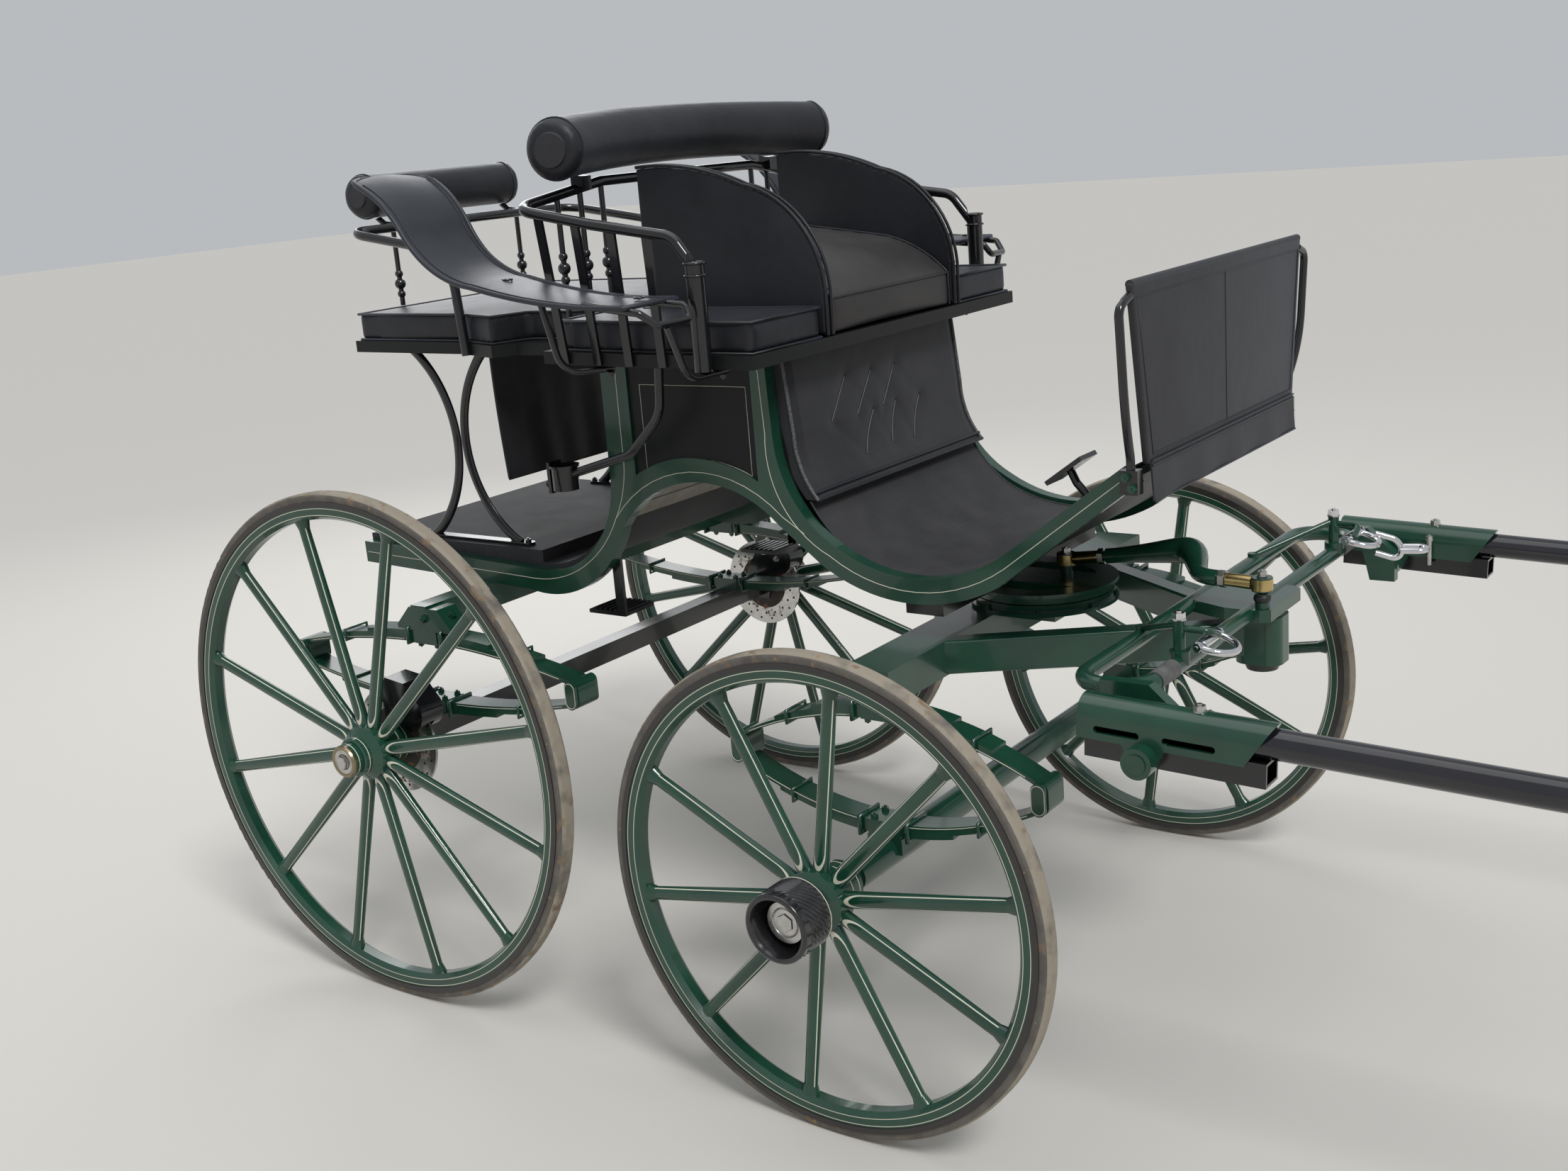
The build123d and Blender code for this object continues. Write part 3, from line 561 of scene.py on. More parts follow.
# end, body, x of the middle, y, z of the middle, main leaf's height at the clamp, its rise, half length
SPRINGS = [
    ("rear", "body", 0, 455, 580, 524, 40, 360),
    ("front", "fore_carriage", 980, 430, 527, 441, 70, 278),
]
for end, body, mid_x, mid_y, mid_z, leaf_z, rise, half_len in SPRINGS:
    heads, clips, ubolts, lines, nose_lines = [], [], [], [], []
    for side, sign in SIDES:
        for flip in (1, -1):
            for loops, reach, deep in ((clips, 0.62, 19), (ubolts, 44 / half_len, 26)):
                for way in (-1, 1):
                    x = mid_x + way * reach * half_len
                    z = leaf_z + rise * reach * reach
                    corners = [(-27, 2), (27, 2), (27, -deep), (-27, -deep)]
                    loops.append([
                        spot(x, sign * mid_y + dy, mid_z + flip * (z + dz - mid_z)) for dy, dz in corners
                    ])
            for dx, dy in ((-22, -16), (-22, 16), (22, -16), (22, 16)):
                seat = (mid_x + dx, sign * mid_y + dy, mid_z + flip * (leaf_z + 2 - mid_z))
                heads.append((seat, (0, 0, flip), 10, 5))
            for face in (-1, 1):
                y = sign * mid_y + face * (SPRING_W / 2 + 0.2)
                for way in (-1, 1):
                    shares = [way * k / 12 for k in range(2, 12)]
                    lines.append([
                        spot(mid_x + half_len * k, y, mid_z + flip * (leaf_z + rise * k * k - 3.5 - mid_z))
                        for k in shares
                    ])
        for way, way_name in ((-1, "rear"), (1, "front")):
            low_y = sign * mid_y - SPRING_W / 2
            end_x = mid_x + way * half_len
            nose = grown_solid(nose_outline(end_x, low_y, mid_z, 14, 12), (0, SPRING_W, 0))
            piece_from(f"{end}_spring_nose_{side}_{way_name}", nose, green_paint, body)
            for face in (-1, 1):
                y = sign * mid_y + face * (SPRING_W / 2 + 8.2)
                nose_lines.append(nose_outline(end_x, y, mid_z, 11, 12))
    bolts(f"{end}_spring_bolts", heads, green_paint, body)
    thread(f"{end}_spring_clips", clips, 3, green_paint, body, "green_paint", closed=True)
    thread(f"{end}_spring_ubolts", ubolts, 4.5, green_paint, body, "green_paint", closed=True)
    thread(f"{end}_spring_lines", lines, 0.7, cream_paint, body, "green_paint")
    thread(f"{end}_nose_lines", nose_lines, 0.7, cream_paint, body, "green_paint", closed=True)


# Side frames: shaped ash boards, enamelled green, each band lined down its middle with a fine raised thread
# of cream. The recess over the wheel arch is a thin black panel with a lined shape that follows the arch.
def arc(start, middle, end, count=14):
    """Points of an arc through three (x, z) places, without the first."""
    (ax, az), (bx, bz), (cx, cz) = start, middle, end
    twice = 2 * (ax * (bz - cz) + bx * (cz - az) + cx * (az - bz))
    a2, b2, c2 = ax * ax + az * az, bx * bx + bz * bz, cx * cx + cz * cz
    hub_x = (a2 * (bz - cz) + b2 * (cz - az) + c2 * (az - bz)) / twice
    hub_z = (a2 * (cx - bx) + b2 * (ax - cx) + c2 * (bx - ax)) / twice
    radius = math.hypot(ax - hub_x, az - hub_z)
    angles = [math.atan2(z - hub_z, x - hub_x) for x, z in (start, middle, end)]
    full = (angles[2] - angles[0]) % math.tau
    if (angles[1] - angles[0]) % math.tau > full:
        full -= math.tau
    turns = [angles[0] + full * i / count for i in range(1, count + 1)]
    return [(hub_x + radius * math.cos(turn), hub_z + radius * math.sin(turn)) for turn in turns]


def run_of(start, steps):
    """An outline in (x, z) from a start and steps: (x, z) for a line, (mid_x, mid_z, x, z) for an arc."""
    points = [start]
    for step in steps:
        points += [step] if len(step) == 2 else arc(points[-1], step[:2], step[2:])
    return points


def upright(run, y):
    """An (x, z) run as places, at a distance to the left."""
    return [spot(x, y, z) for x, z in run]


LINE_R = 0.75
FRAME_FACE = 302.0
PANEL_FACE = 297.0
PANEL_T = 0.6
BANDS = [
    ((380, 1146), [(379, 985), (374, 925, 346, 857), (270, 770, 128, 727), (-338, 743)]),
    ((347, 858), [(535, 952, 718, 884), (760, 858)]),
    ((689, 1146), [(695, 1025), (722, 900, 808, 824), (972, 777, 1132, 829), (1343, 986)]),
]
PANEL_LINE = run_of((429, 1101), [(429, 951), (544, 975, 659, 950), (659, 1101)])
PANEL = run_of((405, 1149.5), [(405, 941), (538, 977, 672, 943), (672, 1149.5)])
for side, sign in SIDES:
    bands = [upright(run_of(*band), sign * FRAME_FACE) for band in BANDS]
    thread(f"frame_lines_{side}", bands, LINE_R, cream_paint, "body", "green_paint")
    panel = grown_solid(upright(PANEL, sign * PANEL_FACE), (0, sign * PANEL_T, 0))
    piece_from(f"arch_panel_{side}", panel, board_black, "body")
    panel_run = upright(PANEL_LINE, sign * (PANEL_FACE + PANEL_T))
    thread(f"panel_line_{side}", [panel_run], LINE_R, cream_paint, "body", "black_paint", closed=True)

# Arch boards: narrow ash planks bent under the seat box, weathered grey, with dark gaps between them.
# The gaps are part of the finish.
PLANK_HALF = 0.026
GAP_HALF = 0.0022
planks = finish(
    "planks", (0.27, 0.245, 0.20), (0.15, 0.135, 0.11), 30, 0.55, 0.12, relief=0.5, relief_grain=220,
)
off_gap = calc("ABSOLUTE", calc("WRAP", axes(planks.node_tree)[0], PLANK_HALF, -PLANK_HALF))
overlay(planks, calc("LESS_THAN", off_gap, GAP_HALF), (0.008, 0.008, 0.008))
paint(planks, "arch_boards")

# Floors: black painted boards under rubber mats covered in fine studs. The front mat runs from the seat down
# the curve and up the toe board. The rear one lies on the footboard.
mat_rubber = finish("mat_rubber", (0.036, 0.036, 0.039), (0.020, 0.020, 0.023), 18, 0.72, 0.1, relief=0.2)
tree = mat_rubber.node_tree
studs = add_node(tree, "TexVoronoi", {
    "Scale": 240.0,
    "Randomness": 0.0,
    "Vector": tree.nodes["Texture Coordinate"].outputs["Object"],
})
stud_bump = add_node(tree, "Bump", {
    "Strength": 0.8,
    "Distance": 0.0012,
    "Height": studs.outputs["Distance"],
    "Normal": tree.nodes["bump"].outputs["Normal"],
})
stud_bump.invert = True
feed(tree, tree.nodes["Principled BSDF"], {"Normal": stud_bump.outputs["Normal"]})
overlay(mat_rubber, patches(tree, 7, 0.5, 0.75) * 0.35, (0.062, 0.060, 0.058))
paint(mat_rubber, "rear_floor")
MAT_HALF = 274
MAT_T = 4
mat_run = run_of((757, 903), [(780, 869, 826, 825.5), (983, 787.5, 1137, 844.5), (1328, 986.5)])
bm = bmesh.new()
chain = [bm.verts.new(place) for place in upright(mat_run, -MAT_HALF)]
edges = [bm.edges.new(pair) for pair in zip(chain, chain[1:])]
grown = bmesh.ops.extrude_edge_only(bm, edges=edges)["geom"]
bmesh.ops.translate(bm, verts=verts_of(grown), vec=(0, 2 * MAT_HALF / 1000, 0))
for face in bm.faces:
    face.normal_update()
if sum(face.normal.z for face in bm.faces) < 0:
    bmesh.ops.reverse_faces(bm, faces=bm.faces)
thicken(bm, (0, 0, MAT_T))
piece_from("front_mat", bm, mat_rubber, "body")
mat_edges = [[spot(x, side * (MAT_HALF - 1), z + MAT_T) for x, z in mat_run] for side in (-1, 1)]
thread("mat_edge", mat_edges, 2.4, mat_rubber, "body", "floor_mat")


# Leather: black coach hide, with a blue grey bloom where the light falls on it. Every cushion is a sewn case
# over a firm filling, so its faces crown between seams that the stitching holds down.
def hide(name, light, dark, roughness, folds=0.25):
    """Fine grained leather with soft folds."""
    material = finish(name, light, dark, 6, roughness, 0.09, relief=0.1, relief_grain=1100)
    tree = material.node_tree
    place = tree.nodes["Texture Coordinate"].outputs["Object"]
    pebble = add_node(tree, "TexVoronoi", {"Scale": 720.0, "Vector": place}).outputs["Distance"]
    wave = add_node(tree, "TexNoise", {"Scale": 13.0, "Detail": 2.0, "Vector": place}).outputs["Fac"]
    under = tree.nodes["bump"].outputs["Normal"]
    for height, strength, depth in ((pebble, 0.22, 0.0004), (wave, folds, 0.008)):
        values = {"Strength": strength, "Distance": depth, "Height": height, "Normal": under}
        under = add_node(tree, "Bump", values).outputs["Normal"]
    feed(tree, tree.nodes["Principled BSDF"], {
        "Normal": under,
        "Specular IOR Level": 0.32,
        "Sheen Weight": 0.08,
        "Sheen Roughness": 0.4,
        "Sheen Tint": (0.55, 0.66, 0.9, 1),
    })
    return material


hide_black = hide("hide_black", (0.022, 0.023, 0.027), (0.012, 0.012, 0.015), 0.42)
hide_worn = hide("hide_worn", (0.046, 0.042, 0.038), (0.024, 0.022, 0.021), 0.46)
hide_grey = hide("hide_grey", (0.038, 0.038, 0.041), (0.022, 0.022, 0.024), 0.5)
piping = hide("piping", (0.024, 0.025, 0.028), (0.013, 0.013, 0.015), 0.34, 0.05)


def leather(name, bm, material):
    """A piece of the body's leather work."""
    return piece_from(name, bm, material, "body")


def piped(name, runs, radius, material=piping, **shape):
    """Piping, hems and seams on the body's leather."""
    thread(name, runs, radius, material, "body", "black_leather", **shape)


def near_seams(coords, seams, reach):
    """Marks the points within reach of any seam, given as runs of places."""
    near = np.zeros(len(coords), bool)
    for seam in seams:
        for a, b in zip(seam, seam[1:]):
            a, b = np.array(a), np.array(b)
            step = b - a
            share = np.clip((coords - a) @ step / (step @ step), 0, 1)
            near |= np.linalg.norm(coords - a - share[:, None] * step, axis=1) < reach
    return near


def coords_of(mesh):
    """A mesh's points as rows of numbers."""
    flat = np.zeros(len(mesh.vertices) * 3)
    mesh.vertices.foreach_get("co", flat)
    return flat.reshape(-1, 3)


CLOTH_FRAMES = 20


def stuffed(name, bm, seams, voxel, cap, material, node):
    """A sewn case swollen by a short cloth run, held at its seams. Each point moves by at most the cap."""
    case_mesh = bpy.data.meshes.new(name + "_case")
    bm.to_mesh(case_mesh)
    bm.free()
    case = show(name + "_case", case_mesh)
    remesh = case.modifiers.new("remesh", "REMESH")
    remesh.mode = "VOXEL"
    remesh.voxel_size = voxel / 1000
    dense = mesh_of(case)
    piece = show(name, dense)
    start = coords_of(dense)
    held = piece.vertex_groups.new(name="seams")
    pinned = np.nonzero(near_seams(start, seams, 1.3 * voxel / 1000))[0]
    held.add([int(i) for i in pinned], 1.0, "REPLACE")
    cloth = piece.modifiers.new("cloth", "CLOTH")
    cloth.settings.use_pressure = True
    cloth.settings.uniform_pressure_force = 4.0
    cloth.settings.effector_weights.gravity = 0
    cloth.settings.vertex_group_mass = "seams"
    cloth.point_cache.frame_end = CLOTH_FRAMES
    for step in range(1, CLOTH_FRAMES + 1):
        bpy.context.scene.frame_set(step)
    swollen = piece.evaluated_get(bpy.context.evaluated_depsgraph_get()).to_mesh()
    moved = coords_of(swollen) - start
    piece.modifiers.remove(cloth)
    bpy.context.scene.frame_set(1)
    length = np.linalg.norm(moved, axis=1)[:, None] + 1e-9
    moved *= np.minimum(1, cap / 1000 / length)
    low = start[:, 2].min()
    start += moved
    start[:, 2] = np.maximum(start[:, 2], low)
    dense.vertices.foreach_set("co", start.ravel())
    dense.update()
    dense.shade_smooth()
    dense.materials.clear()
    dense.materials.append(material)
    smooth = piece.modifiers.new("smooth", "SUBSURF")
    smooth.levels = 1
    smooth.render_levels = 1
    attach(piece, "body")
    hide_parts(node)


def loop(points):
    """A run closed on itself."""
    return [*points, points[0]]


# Seat cushions: box cushions with a piped seam round the top and the bottom. The front one is a U round the
# driver's raised seat, with its arms running forward to the board's edge.
SEAT_LOW = 1174
SEAT_TOP = 1223
# name, node, half of the plan as (x, y) places
SEATS = [
    ("front_seat", "front_cushion", [(343, -387), (535, -407), (769, -413), (769, -224), (395, -224)]),
    ("rear_seat", "rear_cushion", [(-289, -283), (5, -293), (120, -333), (148, -261), (295, -255)]),
]
for name, node, half in SEATS:
    plan = half + [(x, -y) for x, y in reversed(half)]
    top = [spot(x, y, SEAT_TOP) for x, y in plan]
    bottom = [spot(x, y, SEAT_LOW) for x, y in plan]
    case = grown_solid(bottom, (0, 0, SEAT_TOP - SEAT_LOW))
    stuffed(name, case, [loop(top), loop(bottom)], 7.5, 7, hide_black, node)
    piped(name + "_piping", [top, bottom], 2.6, closed=True)

# Driver's cushion: a wedge higher at the back, its top rubbed grey brown. It is piped along its front edge
# and round both sides.
WEDGE = run_of((434, 1176), [(771, 1176), (771, 1234), (738, 1262, 640, 1304), (434, 1332)])
WEDGE_HALF = 190
front_edge = [spot(771, -WEDGE_HALF, 1234), spot(771, WEDGE_HALF, 1234)]
flanks = [loop(upright(WEDGE, sign * WEDGE_HALF)) for side, sign in SIDES]
case = grown_solid(upright(WEDGE, -WEDGE_HALF), (0, 2 * WEDGE_HALF, 0))
stuffed("driver_seat", case, [front_edge, *flanks], 6.5, 8, hide_worn, "driver_cushion")
piped("driver_seat_piping", [front_edge, *[run[1:-1] for run in flanks]], 2.4)

# Seat ends: quarter round padded boards that box in the driver, with a row of piping round the curved edge of
# each face.
END = run_of((399, 1176), [(774, 1176), (775, 1250), (737, 1353, 625, 1422), (514, 1455, 399, 1461)])
END_EDGE = run_of((777, 1176), [(778, 1250), (739, 1355, 626, 1425), (515, 1458, 399, 1464)])
END_IN = 200
END_OUT = 216
for side, sign in SIDES:
    faces = [upright(END, sign * y) for y in (END_IN, END_OUT)]
    case = grown_solid(faces[0], (0, sign * (END_OUT - END_IN), 0))
    stuffed(f"seat_end_{side}", case, [loop(face) for face in faces], 5, 5, hide_black, "seat_ends")
    piped(f"seat_end_piping_{side}", [upright(END_EDGE, sign * y) for y in (END_IN + 1, END_OUT - 1)], 3.0)

# Bolsters: the driver's back roll, bowed round behind the seat and a little arched, and the straighter roll at
# the rear. Each end is drawn in over a rounded edge to a flat round of leather, with a welt where the body
# ends.
END_ROUND = 20
ROLL_SIDES = 40
# name, node, x at the ends, z, half length, bow, radius, arch
ROLLS = [
    ("back_bolster", "back_roll", 370, 1512, 393, 60, 51, 7),
    ("rear_bolster", "rear_roll", -325, 1444, 213, 14, 43, 0),
]
for name, node, end_x, roll_z, half_len, bow, radius, arch in ROLLS:
    bend = (half_len * half_len + bow * bow) / (2 * bow)
    swing = math.asin(half_len / bend)
    bm = bmesh.new()
    first = facing(spot(end_x, -half_len, roll_z), (-math.sin(swing), math.cos(swing), 0))
    bmesh.ops.create_circle(bm, segments=ROLL_SIDES, radius=radius / 1000, matrix=first)
    bmesh.ops.spin(
        bm, geom=bm.verts[:] + bm.edges[:], cent=spot(end_x - bow + bend, 0, roll_z), axis=(0, 0, -1),
        angle=2 * swing, steps=48, use_merge=False, use_duplicate=False,
    )
    bmesh.ops.recalc_face_normals(bm, faces=bm.faces)
    rim_edges = [edge for edge in bm.edges if edge.is_boundary]
    bmesh.ops.holes_fill(bm, edges=bm.edges, sides=0)
    bmesh.ops.bevel(
        bm, geom=rim_edges, offset=END_ROUND / 1000, segments=4, profile=0.5, affect="EDGES", material=-1,
    )
    welts, rounds = [], bmesh.new()
    inner_r = radius - END_ROUND - 1
    for side, sign in SIDES:
        turn = facing(spot(end_x, sign * half_len, roll_z), (math.sin(swing), sign * math.cos(swing), 0))
        welts.append([turn @ (Vector((u, v, -END_ROUND)) / 1000) for u, v in circle(radius, ROLL_SIDES)])
        rod(rounds, ROLL_SIDES, inner_r, inner_r - 2, 5, turn @ Matrix.Translation((0, 0, 0.0015)))
    points = [vert.co for work in (bm, rounds) for vert in work.verts]
    for place in points + [place for welt in welts for place in welt]:
        place.z += arch / 1000 * (1 - 2 * (place.y * 1000 / half_len) ** 2)
    stuffed(name, bm, [loop(welt) for welt in welts], 6, 4, hide_black, node)
    piped(name + "_welts", welts, 1.8, closed=True)
    leather(name + "_rounds", rounds, hide_grey)

# Seat box front: a leather panel over the box between the side frames, stitched into slanting diamonds in the
# middle, with a woven edging down both sides and a double welt where it meets the mat.
QUILT_HALF = 276
QUILT_T = 22
QUILT = run_of((774, 910), [(744, 960, 733, 1020), (719, 1149)])
# the stitched lines, as (y, z) pairs, first the firm slanting ones and then the lighter ones across them
FIRM = [
    ((-104, 1089), (-162, 1021)), ((-22, 1087), (-82, 1020)), ((55, 1086), (2, 1022)),
    ((124, 1019), (77, 951)), ((-31, 1019), (-83, 951)), ((43, 1022), (6, 955)),
]
LIGHT = [
    ((-104, 1089), (-31, 1019)), ((-31, 1019), (6, 955)), ((-22, 1087), (43, 1022)), ((43, 1022), (77, 951)),
    ((55, 1086), (124, 1019)), ((-162, 1021), (-83, 951)),
]
# how far the leather stands up between which lines, and how wide their grooves are
PUFFS = [(2.4, FIRM, 3.2), (1.8, FIRM, 16), (0.8, LIGHT, 12)]


def along_run(run, share):
    """A place at a share of the way along an (x, z) run."""
    lengths = [math.dist(a, b) for a, b in zip(run, run[1:])]
    left = share * sum(lengths)
    for a, b, length in zip(run, run[1:], lengths):
        if left <= length + 1e-6:
            break
        left -= length
    k = min(1.0, left / length)
    return a[0] + (b[0] - a[0]) * k, a[1] + (b[1] - a[1]) * k


def off_stitch(y, z, lines, width):
    """How far a point is out of the groove of the nearest stitched line, from 0 in it to 1 away from it."""
    nearest = 1e9
    for (ay, az), (by, bz) in lines:
        dy, dz = by - ay, bz - az
        k = max(0.0, min(1.0, ((y - ay) * dy + (z - az) * dz) / (dy * dy + dz * dz)))
        nearest = min(nearest, math.hypot(y - ay - k * dy, z - az - k * dz))
    return 1 - math.exp(-(nearest / width) ** 2)


def sheet(columns, rows, place, travel):
    """A closed sheet: a grid whose points a function places by two shares from -1 to 1, then thickened."""
    bm = bmesh.new()
    bmesh.ops.create_grid(bm, x_segments=columns, y_segments=rows, size=1)
    for vert in bm.verts:
        vert.co = place(vert.co.x, vert.co.y)
    thicken(bm, travel)
    return bm


def quilt_place(across, upward):
    """A place on the quilt's face, puffed out between the stitched lines and let down at the edges."""
    y = across * QUILT_HALF
    x, z = along_run(QUILT, (upward + 1) / 2)
    puff = sum(height * off_stitch(y, z, lines, width) for height, lines, width in PUFFS)
    rim = min(1.0, (QUILT_HALF - abs(y)) / 22) * min(1.0, (z - 905) / 30)
    return spot(x + puff * rim, y, z)


quilt = leather("quilt", sheet(220, 100, quilt_place, (-QUILT_T, 0, 0)), hide_grey)
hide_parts("quilt_panel")
# Light grey threads along the firm slanting lines only: real stitching, lightened to a painted highlight on the
# ridges of the quilting.
stitch_and_highlight_runs = []
for (ay, az), (by, bz) in FIRM:
    shares = [k / 10 for k in range(11)]
    heights = [az + (bz - az) * k for k in shares]
    ahead = np.interp(heights, [z for x, z in QUILT], [x for x, z in QUILT]) + 2.2
    stitch_and_highlight_runs.append([spot(x, ay + (by - ay) * k, z) for x, k, z in zip(ahead, shares, heights)])
stitch_and_highlight_grey = finish("stitch_and_highlight_grey", (0.16, 0.16, 0.165), (0.09, 0.09, 0.094), 90, 0.5)
piped("quilt_stitch_highlights", stitch_and_highlight_runs, 0.8, stitch_and_highlight_grey)
quilt_edges = [[spot(x + 2, side * QUILT_HALF, z) for x, z in QUILT] for side in (-1, 1)]
woven_edge = finish("woven_edge", (0.17, 0.17, 0.17), (0.012, 0.012, 0.013), 420, 0.6, relief=0.4)
piped("quilt_edging", quilt_edges, 3.2, woven_edge, sides=3)
welts = [[spot(x, -QUILT_HALF, z), spot(x, QUILT_HALF, z)] for x, z in ((777, 911), (770, 922))]
piped("quilt_piping", welts, 3.0, sides=3)

# Heel panel: a curtain of leather that hangs behind the rear passengers' legs, piped down both sides and along
# the foot. It hangs in soft folds that deepen downwards.
HEEL_HALF = 268
HEEL_TOP = 1147
HEEL_DROP = 239
HEEL_T = 6
HEEL = run_of((56, HEEL_TOP - HEEL_DROP), [(46, 1030, 43, HEEL_TOP)])


def heel_place(across, upward):
    """A place on the curtain, swayed by its folds."""
    y = across * HEEL_HALF
    x, z = along_run(HEEL, (upward + 1) / 2)
    loose = (HEEL_TOP - z) / HEEL_DROP
    sway = 2.2 * loose * math.sin(y / 31) + 1.6 * loose * math.sin(y / 12.5 + 1.3)
    return spot(x + sway, y, z)


curtain = leather("heel_curtain", sheet(90, 40, heel_place, (HEEL_T, 0, 0)), hide_grey)
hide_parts("heel_panel")
hem = [spot(x + 2, -HEEL_HALF, z) for x, z in reversed(HEEL)] + [spot(x + 2, HEEL_HALF, z) for x, z in HEEL]
piped("heel_piping", [hem], 3.0, sides=3)

# Mudguards: wings of stiff patent leather over iron rods, swept up and widened at the rear, where the corners
# are round. They have a rolled hem with a stitched line inside it, and two small screwed washers on top.
guard_hide = hide("guard_hide", (0.034, 0.038, 0.046), (0.020, 0.022, 0.028), 0.36, 0.12)
GUARD = run_of((97, 1490), [(158, 1461, 207, 1407), (262, 1344, 345, 1311), (490, 1283, 652, 1274)])
GUARD_CORNER = 34
GUARD_T = 4
WASHER_Y = 509


def guard_edges(x, inset=0):
    """The wing's outer and inner edge across the carriage, at a place along it."""
    into = max(0.0, GUARD_CORNER - (x - 97))
    tuck = GUARD_CORNER - math.sqrt(max(0.0, GUARD_CORNER ** 2 - into ** 2)) + inset
    outer = 602 - (x - 90) * 30 / 570 - tuck
    inner = 430 + min(1.0, (x - 90) / 160) * 16 + tuck
    return outer, inner


def guard_place(along, across):
    """A place on the left wing's top, a little crowned across."""
    x, z = along_run(GUARD, (along + 1) / 2)
    outer, inner = guard_edges(x)
    y = (outer + inner) / 2 + across * (outer - inner) / 2
    return spot(x, y, z - 3 - 4 * across * across)


def guard_round(run, sign, inset, drop):
    """A run of places down the wing's outer edge and back up its inner one."""
    out = [spot(x, sign * guard_edges(x, inset)[0], z - drop) for x, z in run]
    return out + [spot(x, sign * guard_edges(x, inset)[1], z - drop) for x, z in reversed(run)]


for side, sign in SIDES:
    mirror = Vector((1, sign, 1))
    bm = sheet(80, 16, lambda along, across: guard_place(along, across) * mirror, (0, 0, -GUARD_T))
    wing = leather(f"mudguard_{side}", bm, guard_hide)
    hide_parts("mudguards")
    run = [along_run(GUARD, i / 60) for i in range(61)]
    piped(f"mudguard_hem_{side}", [guard_round(run, sign, 0, 8)], 4.2, guard_hide, closed=True, sides=3)
    piped(f"mudguard_seam_{side}", [guard_round(run[3:], sign, 11, 5.6)], 1.3)
    washers, screws = [], bmesh.new()
    for x in (352, 630):
        z = 1310 - (x - 345) * 36 / 307
        washers.append([spot(x + dx, sign * WASHER_Y + dy, z - 2.2) for dx, dy in circle(8, 24)])
        bmesh.ops.create_uvsphere(
            screws, u_segments=16, v_segments=8, radius=0.0036,
            matrix=Matrix.Translation(spot(x, sign * WASHER_Y, z - 3)) @ Matrix.Diagonal((1, 1, 0.6, 1)),
        )
    thread(f"mudguard_washers_{side}", washers, 1.5, black_paint, "body", "black_paint", closed=True)
    piece_from(f"mudguard_screws_{side}", screws, steel, "body")

# Dashboard: a board wrapped in leather, rolled over at the top, with a stitched valance below and green
# brackets bolted to the side frames at its feet.
DASH_HALF_LOW = 294
DASH_HALF_HIGH = 336
DASH_LOW = 1003
DASH_HIGH = 1266
DASH_T = 12
SEAM_IN = 13
SEAM_DROP = 20
FRONT_SEAM_X = 1373.2
REAR_SEAM_X = 1360.8
outline = [
    (-DASH_HALF_LOW, DASH_LOW), (DASH_HALF_LOW, DASH_LOW),
    (DASH_HALF_HIGH, DASH_HIGH), (-DASH_HALF_HIGH, DASH_HIGH),
]
bm = grown_solid([spot(1361, y, z) for y, z in outline], (DASH_T, 0, 0))
bmesh.ops.bevel(bm, geom=bm.edges[:], offset=0.004, segments=3, profile=0.5, affect="EDGES", material=-1)
dash = leather("dash_leather", bm, hide_grey)
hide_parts("dashboard")
seam_low = DASH_LOW + SEAM_IN
seam_high = DASH_HIGH - SEAM_DROP
stitch_run = [
    (SEAM_IN - DASH_HALF_LOW, seam_low), (DASH_HALF_LOW - SEAM_IN, seam_low),
    (DASH_HALF_HIGH - SEAM_IN - 2, seam_high), (SEAM_IN + 2 - DASH_HALF_HIGH, seam_high),
]
for name, x in (("front", FRONT_SEAM_X), ("rear", REAR_SEAM_X)):
    piped(f"dash_seam_{name}", [[spot(x, y, z) for y, z in stitch_run]], 1.1, closed=True)
roll = [spot(1367, sign * (DASH_HALF_HIGH - 3), DASH_HIGH - 2) for side, sign in SIDES]
piped("dash_roll", [roll], 6.4, hide_grey, sides=5)
piped("dash_middle_seam", [[spot(FRONT_SEAM_X, 0, z) for z in (seam_low, seam_high)]], 0.7)
VALANCE_HALF = 290
VALANCE_TOP = 1008
VALANCE_DROP = 60
VALANCE_T = 3


def valance_place(across, upward):
    """A place on the valance, leaning forward and rippling towards its foot."""
    y = across * VALANCE_HALF
    drop = (1 - upward) / 2
    return spot(1374.5 + 4 * drop + 1.4 * drop * math.sin(y / 23), y, VALANCE_TOP - VALANCE_DROP * drop)


leather("dash_valance", sheet(100, 12, valance_place, (-VALANCE_T, 0, 0)), hide_grey)
hems = [
    [spot(1375.4 + lean, sign * VALANCE_HALF, z) for side, sign in SIDES]
    for lean, z in ((0, VALANCE_TOP - 1), (0.4, VALANCE_TOP - 7), (3.2, VALANCE_TOP - VALANCE_DROP))
]
piped("valance_hems", hems, 1.6)
FEET = ((1348, 988), (1358, 972))
heads = [((x, sign * 321, z), (0, sign, 0), 12, 5) for side, sign in SIDES for x, z in FEET]
bolts("dash_bolts", heads, green_paint, "body")

# Fittings under and on the body: bolts on the rear spring seats and the irons' feet, the lamp clamp's screws
# and the rolled rims of the whip sockets.
heads = []
for side, sign in SIDES:
    heads += [((x, sign * 456, 690), (lean, 0, 0.6), 13, 6) for x, lean in ((-46, -0.8), (54, 0.8))]
    heads.append(((4, sign * 480, 684), (0, sign, 0), 13, 6))
bolts("spring_seat_bolts", heads, green_paint, "body")
heads = []
for side, sign in SIDES:
    heads += [((x, sign * 252, 782), (0, 0, 1), 10, 4) for x in (-206, 70)]
    heads += [((x, sign * 392, 1138), (0, 0, -1), 10, 4) for x in (690, 452)]
heads += [((251, y, z), (-1, 0, 0), 11, 6) for y, z in ((-358, 928), (-342, 952))]
bolts("iron_bolts", heads, black_paint, "body")
socket_rims = [
    [spot(690 + dx, sign * 440.5 + dy, z) for dx, dy in circle(16, 28)]
    for side, sign in SIDES for z in (1319, 1300)
]
thread("whip_socket_rims", socket_rims, 2.4, black_paint, "body", "black_paint", closed=True)

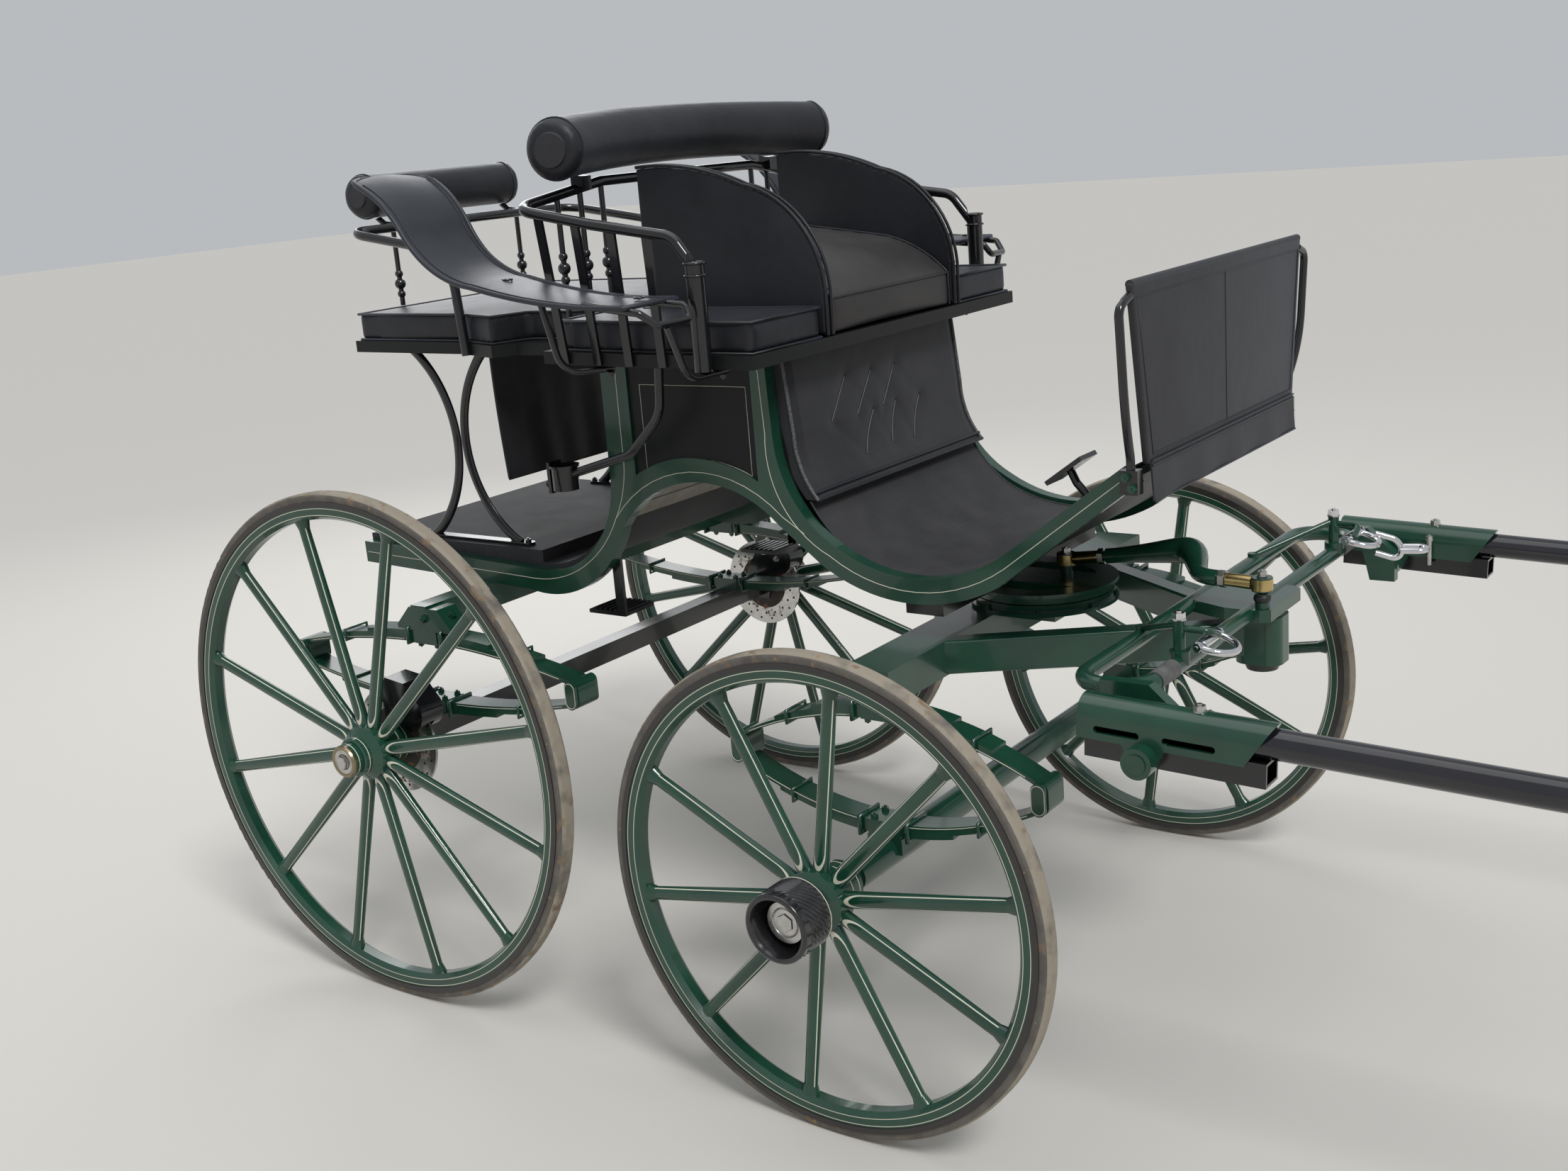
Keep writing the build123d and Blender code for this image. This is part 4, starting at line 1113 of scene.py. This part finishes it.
# Turntable and boss: the eight bolts round the lower ring, and the black cap under the boss that the draft
# frame turns on.
TURN_BOLTS = 8
TURN_BOLT_R = 123
turns = [math.tau * (i + 0.5) / TURN_BOLTS for i in range(TURN_BOLTS)]
heads = [((1040 + TURN_BOLT_R * math.cos(a), TURN_BOLT_R * math.sin(a), 701), (0, 0, 1), 6, 3) for a in turns]
bolts("turntable_bolts", heads, green_paint, "fore_carriage")
bm = bmesh.new()
rod(bm, 40, 26, 29, 10, Matrix.Translation(spot(1427, 0, 621)))
piece_from("boss_cap", bm, black_paint, "fore_carriage")

# Steering link: a forged arm that swells to its bend, with brass rod ends and zinc lock nuts. It runs from
# the body's stud to the draft frame's post, where a rubber boot sits under the joint.
LINK_R = 10
# places along the arm, with its radius there
LINK_ARM = [
    ((1142, 38, 767), 12), ((1180, 40, 772), 14), ((1220, 43, 777), 17), ((1256, 46, 783), 20.5),
    ((1288, 46, 787), 23), ((1306, 24, 786), 22), ((1318, 0, 781), 19), ((1330, -24, 777), 16),
    ((1341, -46, 774), 13.5), ((1356, -58, 773), 11.5), ((1378, -57, 773), 9.5),
]
arm_run = [spot(*place) for place, radius in LINK_ARM]
swell = [radius / LINK_R for place, radius in LINK_ARM]
thread("link_arm", [arm_run], LINK_R, green_paint, "link", "green_paint", sides=8, swell=swell)
brass = finish("brass", (0.66, 0.50, 0.22), (0.5, 0.38, 0.17), 70, 0.24, metal=1.0)
boot_rubber = finish("boot_rubber", (0.02, 0.02, 0.02), (0.012, 0.012, 0.012), 30, 0.5)
STUD = (1068, 34)
POST = (1450, -60)
# the eye's place, a place that its neck points to, and the neck's length
LINK_ENDS = [((*STUD, 757), (1286, 46, 786), 74), ((*POST, 771), (1346, -56, 774), 72)]
sleeves, nuts = bmesh.new(), bmesh.new()
for eye, towards, neck in LINK_ENDS:
    eye_place = spot(*eye)
    line = (spot(*towards) - eye_place).normalized()
    rod(sleeves, 28, 11.2, 10.5, neck - 30, facing(eye_place + line * (neck + 2) / 2000, line))
    rod(sleeves, 32, 16.8, 16.8, 18, Matrix.Translation(eye_place))
    rod(nuts, 6, 14.2, 14.2, 10, facing(eye_place + line * (neck - 8) / 1000, line))
bolt(nuts, spot(*POST, 783), (0, 0, 1), 13, 7)
bolt(nuts, spot(*STUD, 768), (0, 0, 1), 13, 7)
piece_from("link_rod_ends", sleeves, brass, "link")
piece_from("link_nuts", nuts, steel, "link")
bm = bmesh.new()
bmesh.ops.create_uvsphere(
    bm, u_segments=28, v_segments=14, radius=0.0135,
    matrix=Matrix.Translation(spot(*POST, 748)) @ Matrix.Diagonal((1, 1, 0.75, 1)),
)
piece_from("link_boot", bm, boot_rubber, "draft_gear")

# Trace shackles: plated D shackles that hang from the posts, with a nut on top, and worn pads on the draft
# frame's front tube where they swing. The left one has two more shackles chained to it.
pad_grey = finish("pad_grey", (0.13, 0.13, 0.13), (0.07, 0.07, 0.07), 40, 0.6, relief=0.4, relief_grain=160)
chrome = finish("chrome", (0.78, 0.78, 0.79), (0.68, 0.68, 0.70), 50, 0.1, 0.04, metal=1.0)
POST_X = 1430
SHACKLE_X = 1468
SHACKLE_Y = 322
ACROSS = Matrix.Rotation(math.pi / 2, 4, "X")


def dee(centre, forward, sideways, length, width, count=20):
    """The bent bar of a D shackle: two legs and a round bow."""
    half = width / 2000
    legs = (length - width / 2) / 1000
    bowed = [
        centre + forward * (legs + half * math.sin(a)) + sideways * half * math.cos(a)
        for a in [math.pi * i / count for i in range(count + 1)]
    ]
    return [centre + sideways * half, *bowed, centre - sideways * half]


for side, sign in SIDES:
    y = sign * SHACKLE_Y
    bm = bmesh.new()
    bolt(bm, spot(POST_X, sign * 334, 788), (0, 0, 1), 17, 9)
    rod(bm, 28, 8.5, 8.5, 52, Matrix.Translation(spot(SHACKLE_X, y, 758)) @ ACROSS)
    for way in (-1, 1):
        bolt(bm, spot(SHACKLE_X, y + way * 36, 758), (0, way, 0), 13, 6)
    piece_from(f"shackle_bolts_{side}", bm, chrome, "draft_gear")
    bars = [dee(spot(SHACKLE_X, y, 757), Vector((0.97, 0, -0.24)), Vector((0, 1, 0)), 44, 68)]
    if side == "left":
        second = Vector((0.9, 0.3, -0.3)).normalized()
        third = Vector((0.95, 0.3, 0)).normalized()
        bars.append(dee(spot(1506, y, 748), second, Vector((0, 0, 1)), 44, 34))
        bars.append(dee(spot(1544, y + 12, 738), third, Vector((-0.3, 0.95, 0)), 42, 30))
    thread(f"shackle_{side}", bars, 5.2, chrome, "draft_gear", "chrome", sides=4)
    bm = bmesh.new()
    rod(bm, 32, 14.2, 14.2, 62, Matrix.Translation(spot(POST_X, sign * 392, 722)) @ ACROSS)
    piece_from(f"draft_pad_{side}", bm, pad_grey, "draft_gear")

# Shaft sockets: a plated ring on the end of each hinge sleeve, a bolt on top of the channel and a clamp bolt
# through it, lower and further in.
SOCKET_X = 1545
SLEEVE_X = 1475
for side, sign in SIDES:
    ring = [spot(SLEEVE_X + dx, sign * 488.5, 664 + dz) for dx, dz in circle(18.5, 36)]
    thread(f"sleeve_ring_{side}", [ring], 3, chrome, f"{side}_shaft", "chrome", closed=True, sides=3)
    bm = bmesh.new()
    bolt(bm, spot(SOCKET_X, sign * 540, 732), (0, 0, 1), 15, 7)
    bolt(bm, spot(SOCKET_X, sign * 505, 712), (0, 0, 1), 12, 6)
    rod(bm, 20, 5, 5, 46, Matrix.Translation(spot(SOCKET_X, sign * 505, 690)))
    piece_from(f"socket_bolts_{side}", bm, steel, f"{side}_shaft")
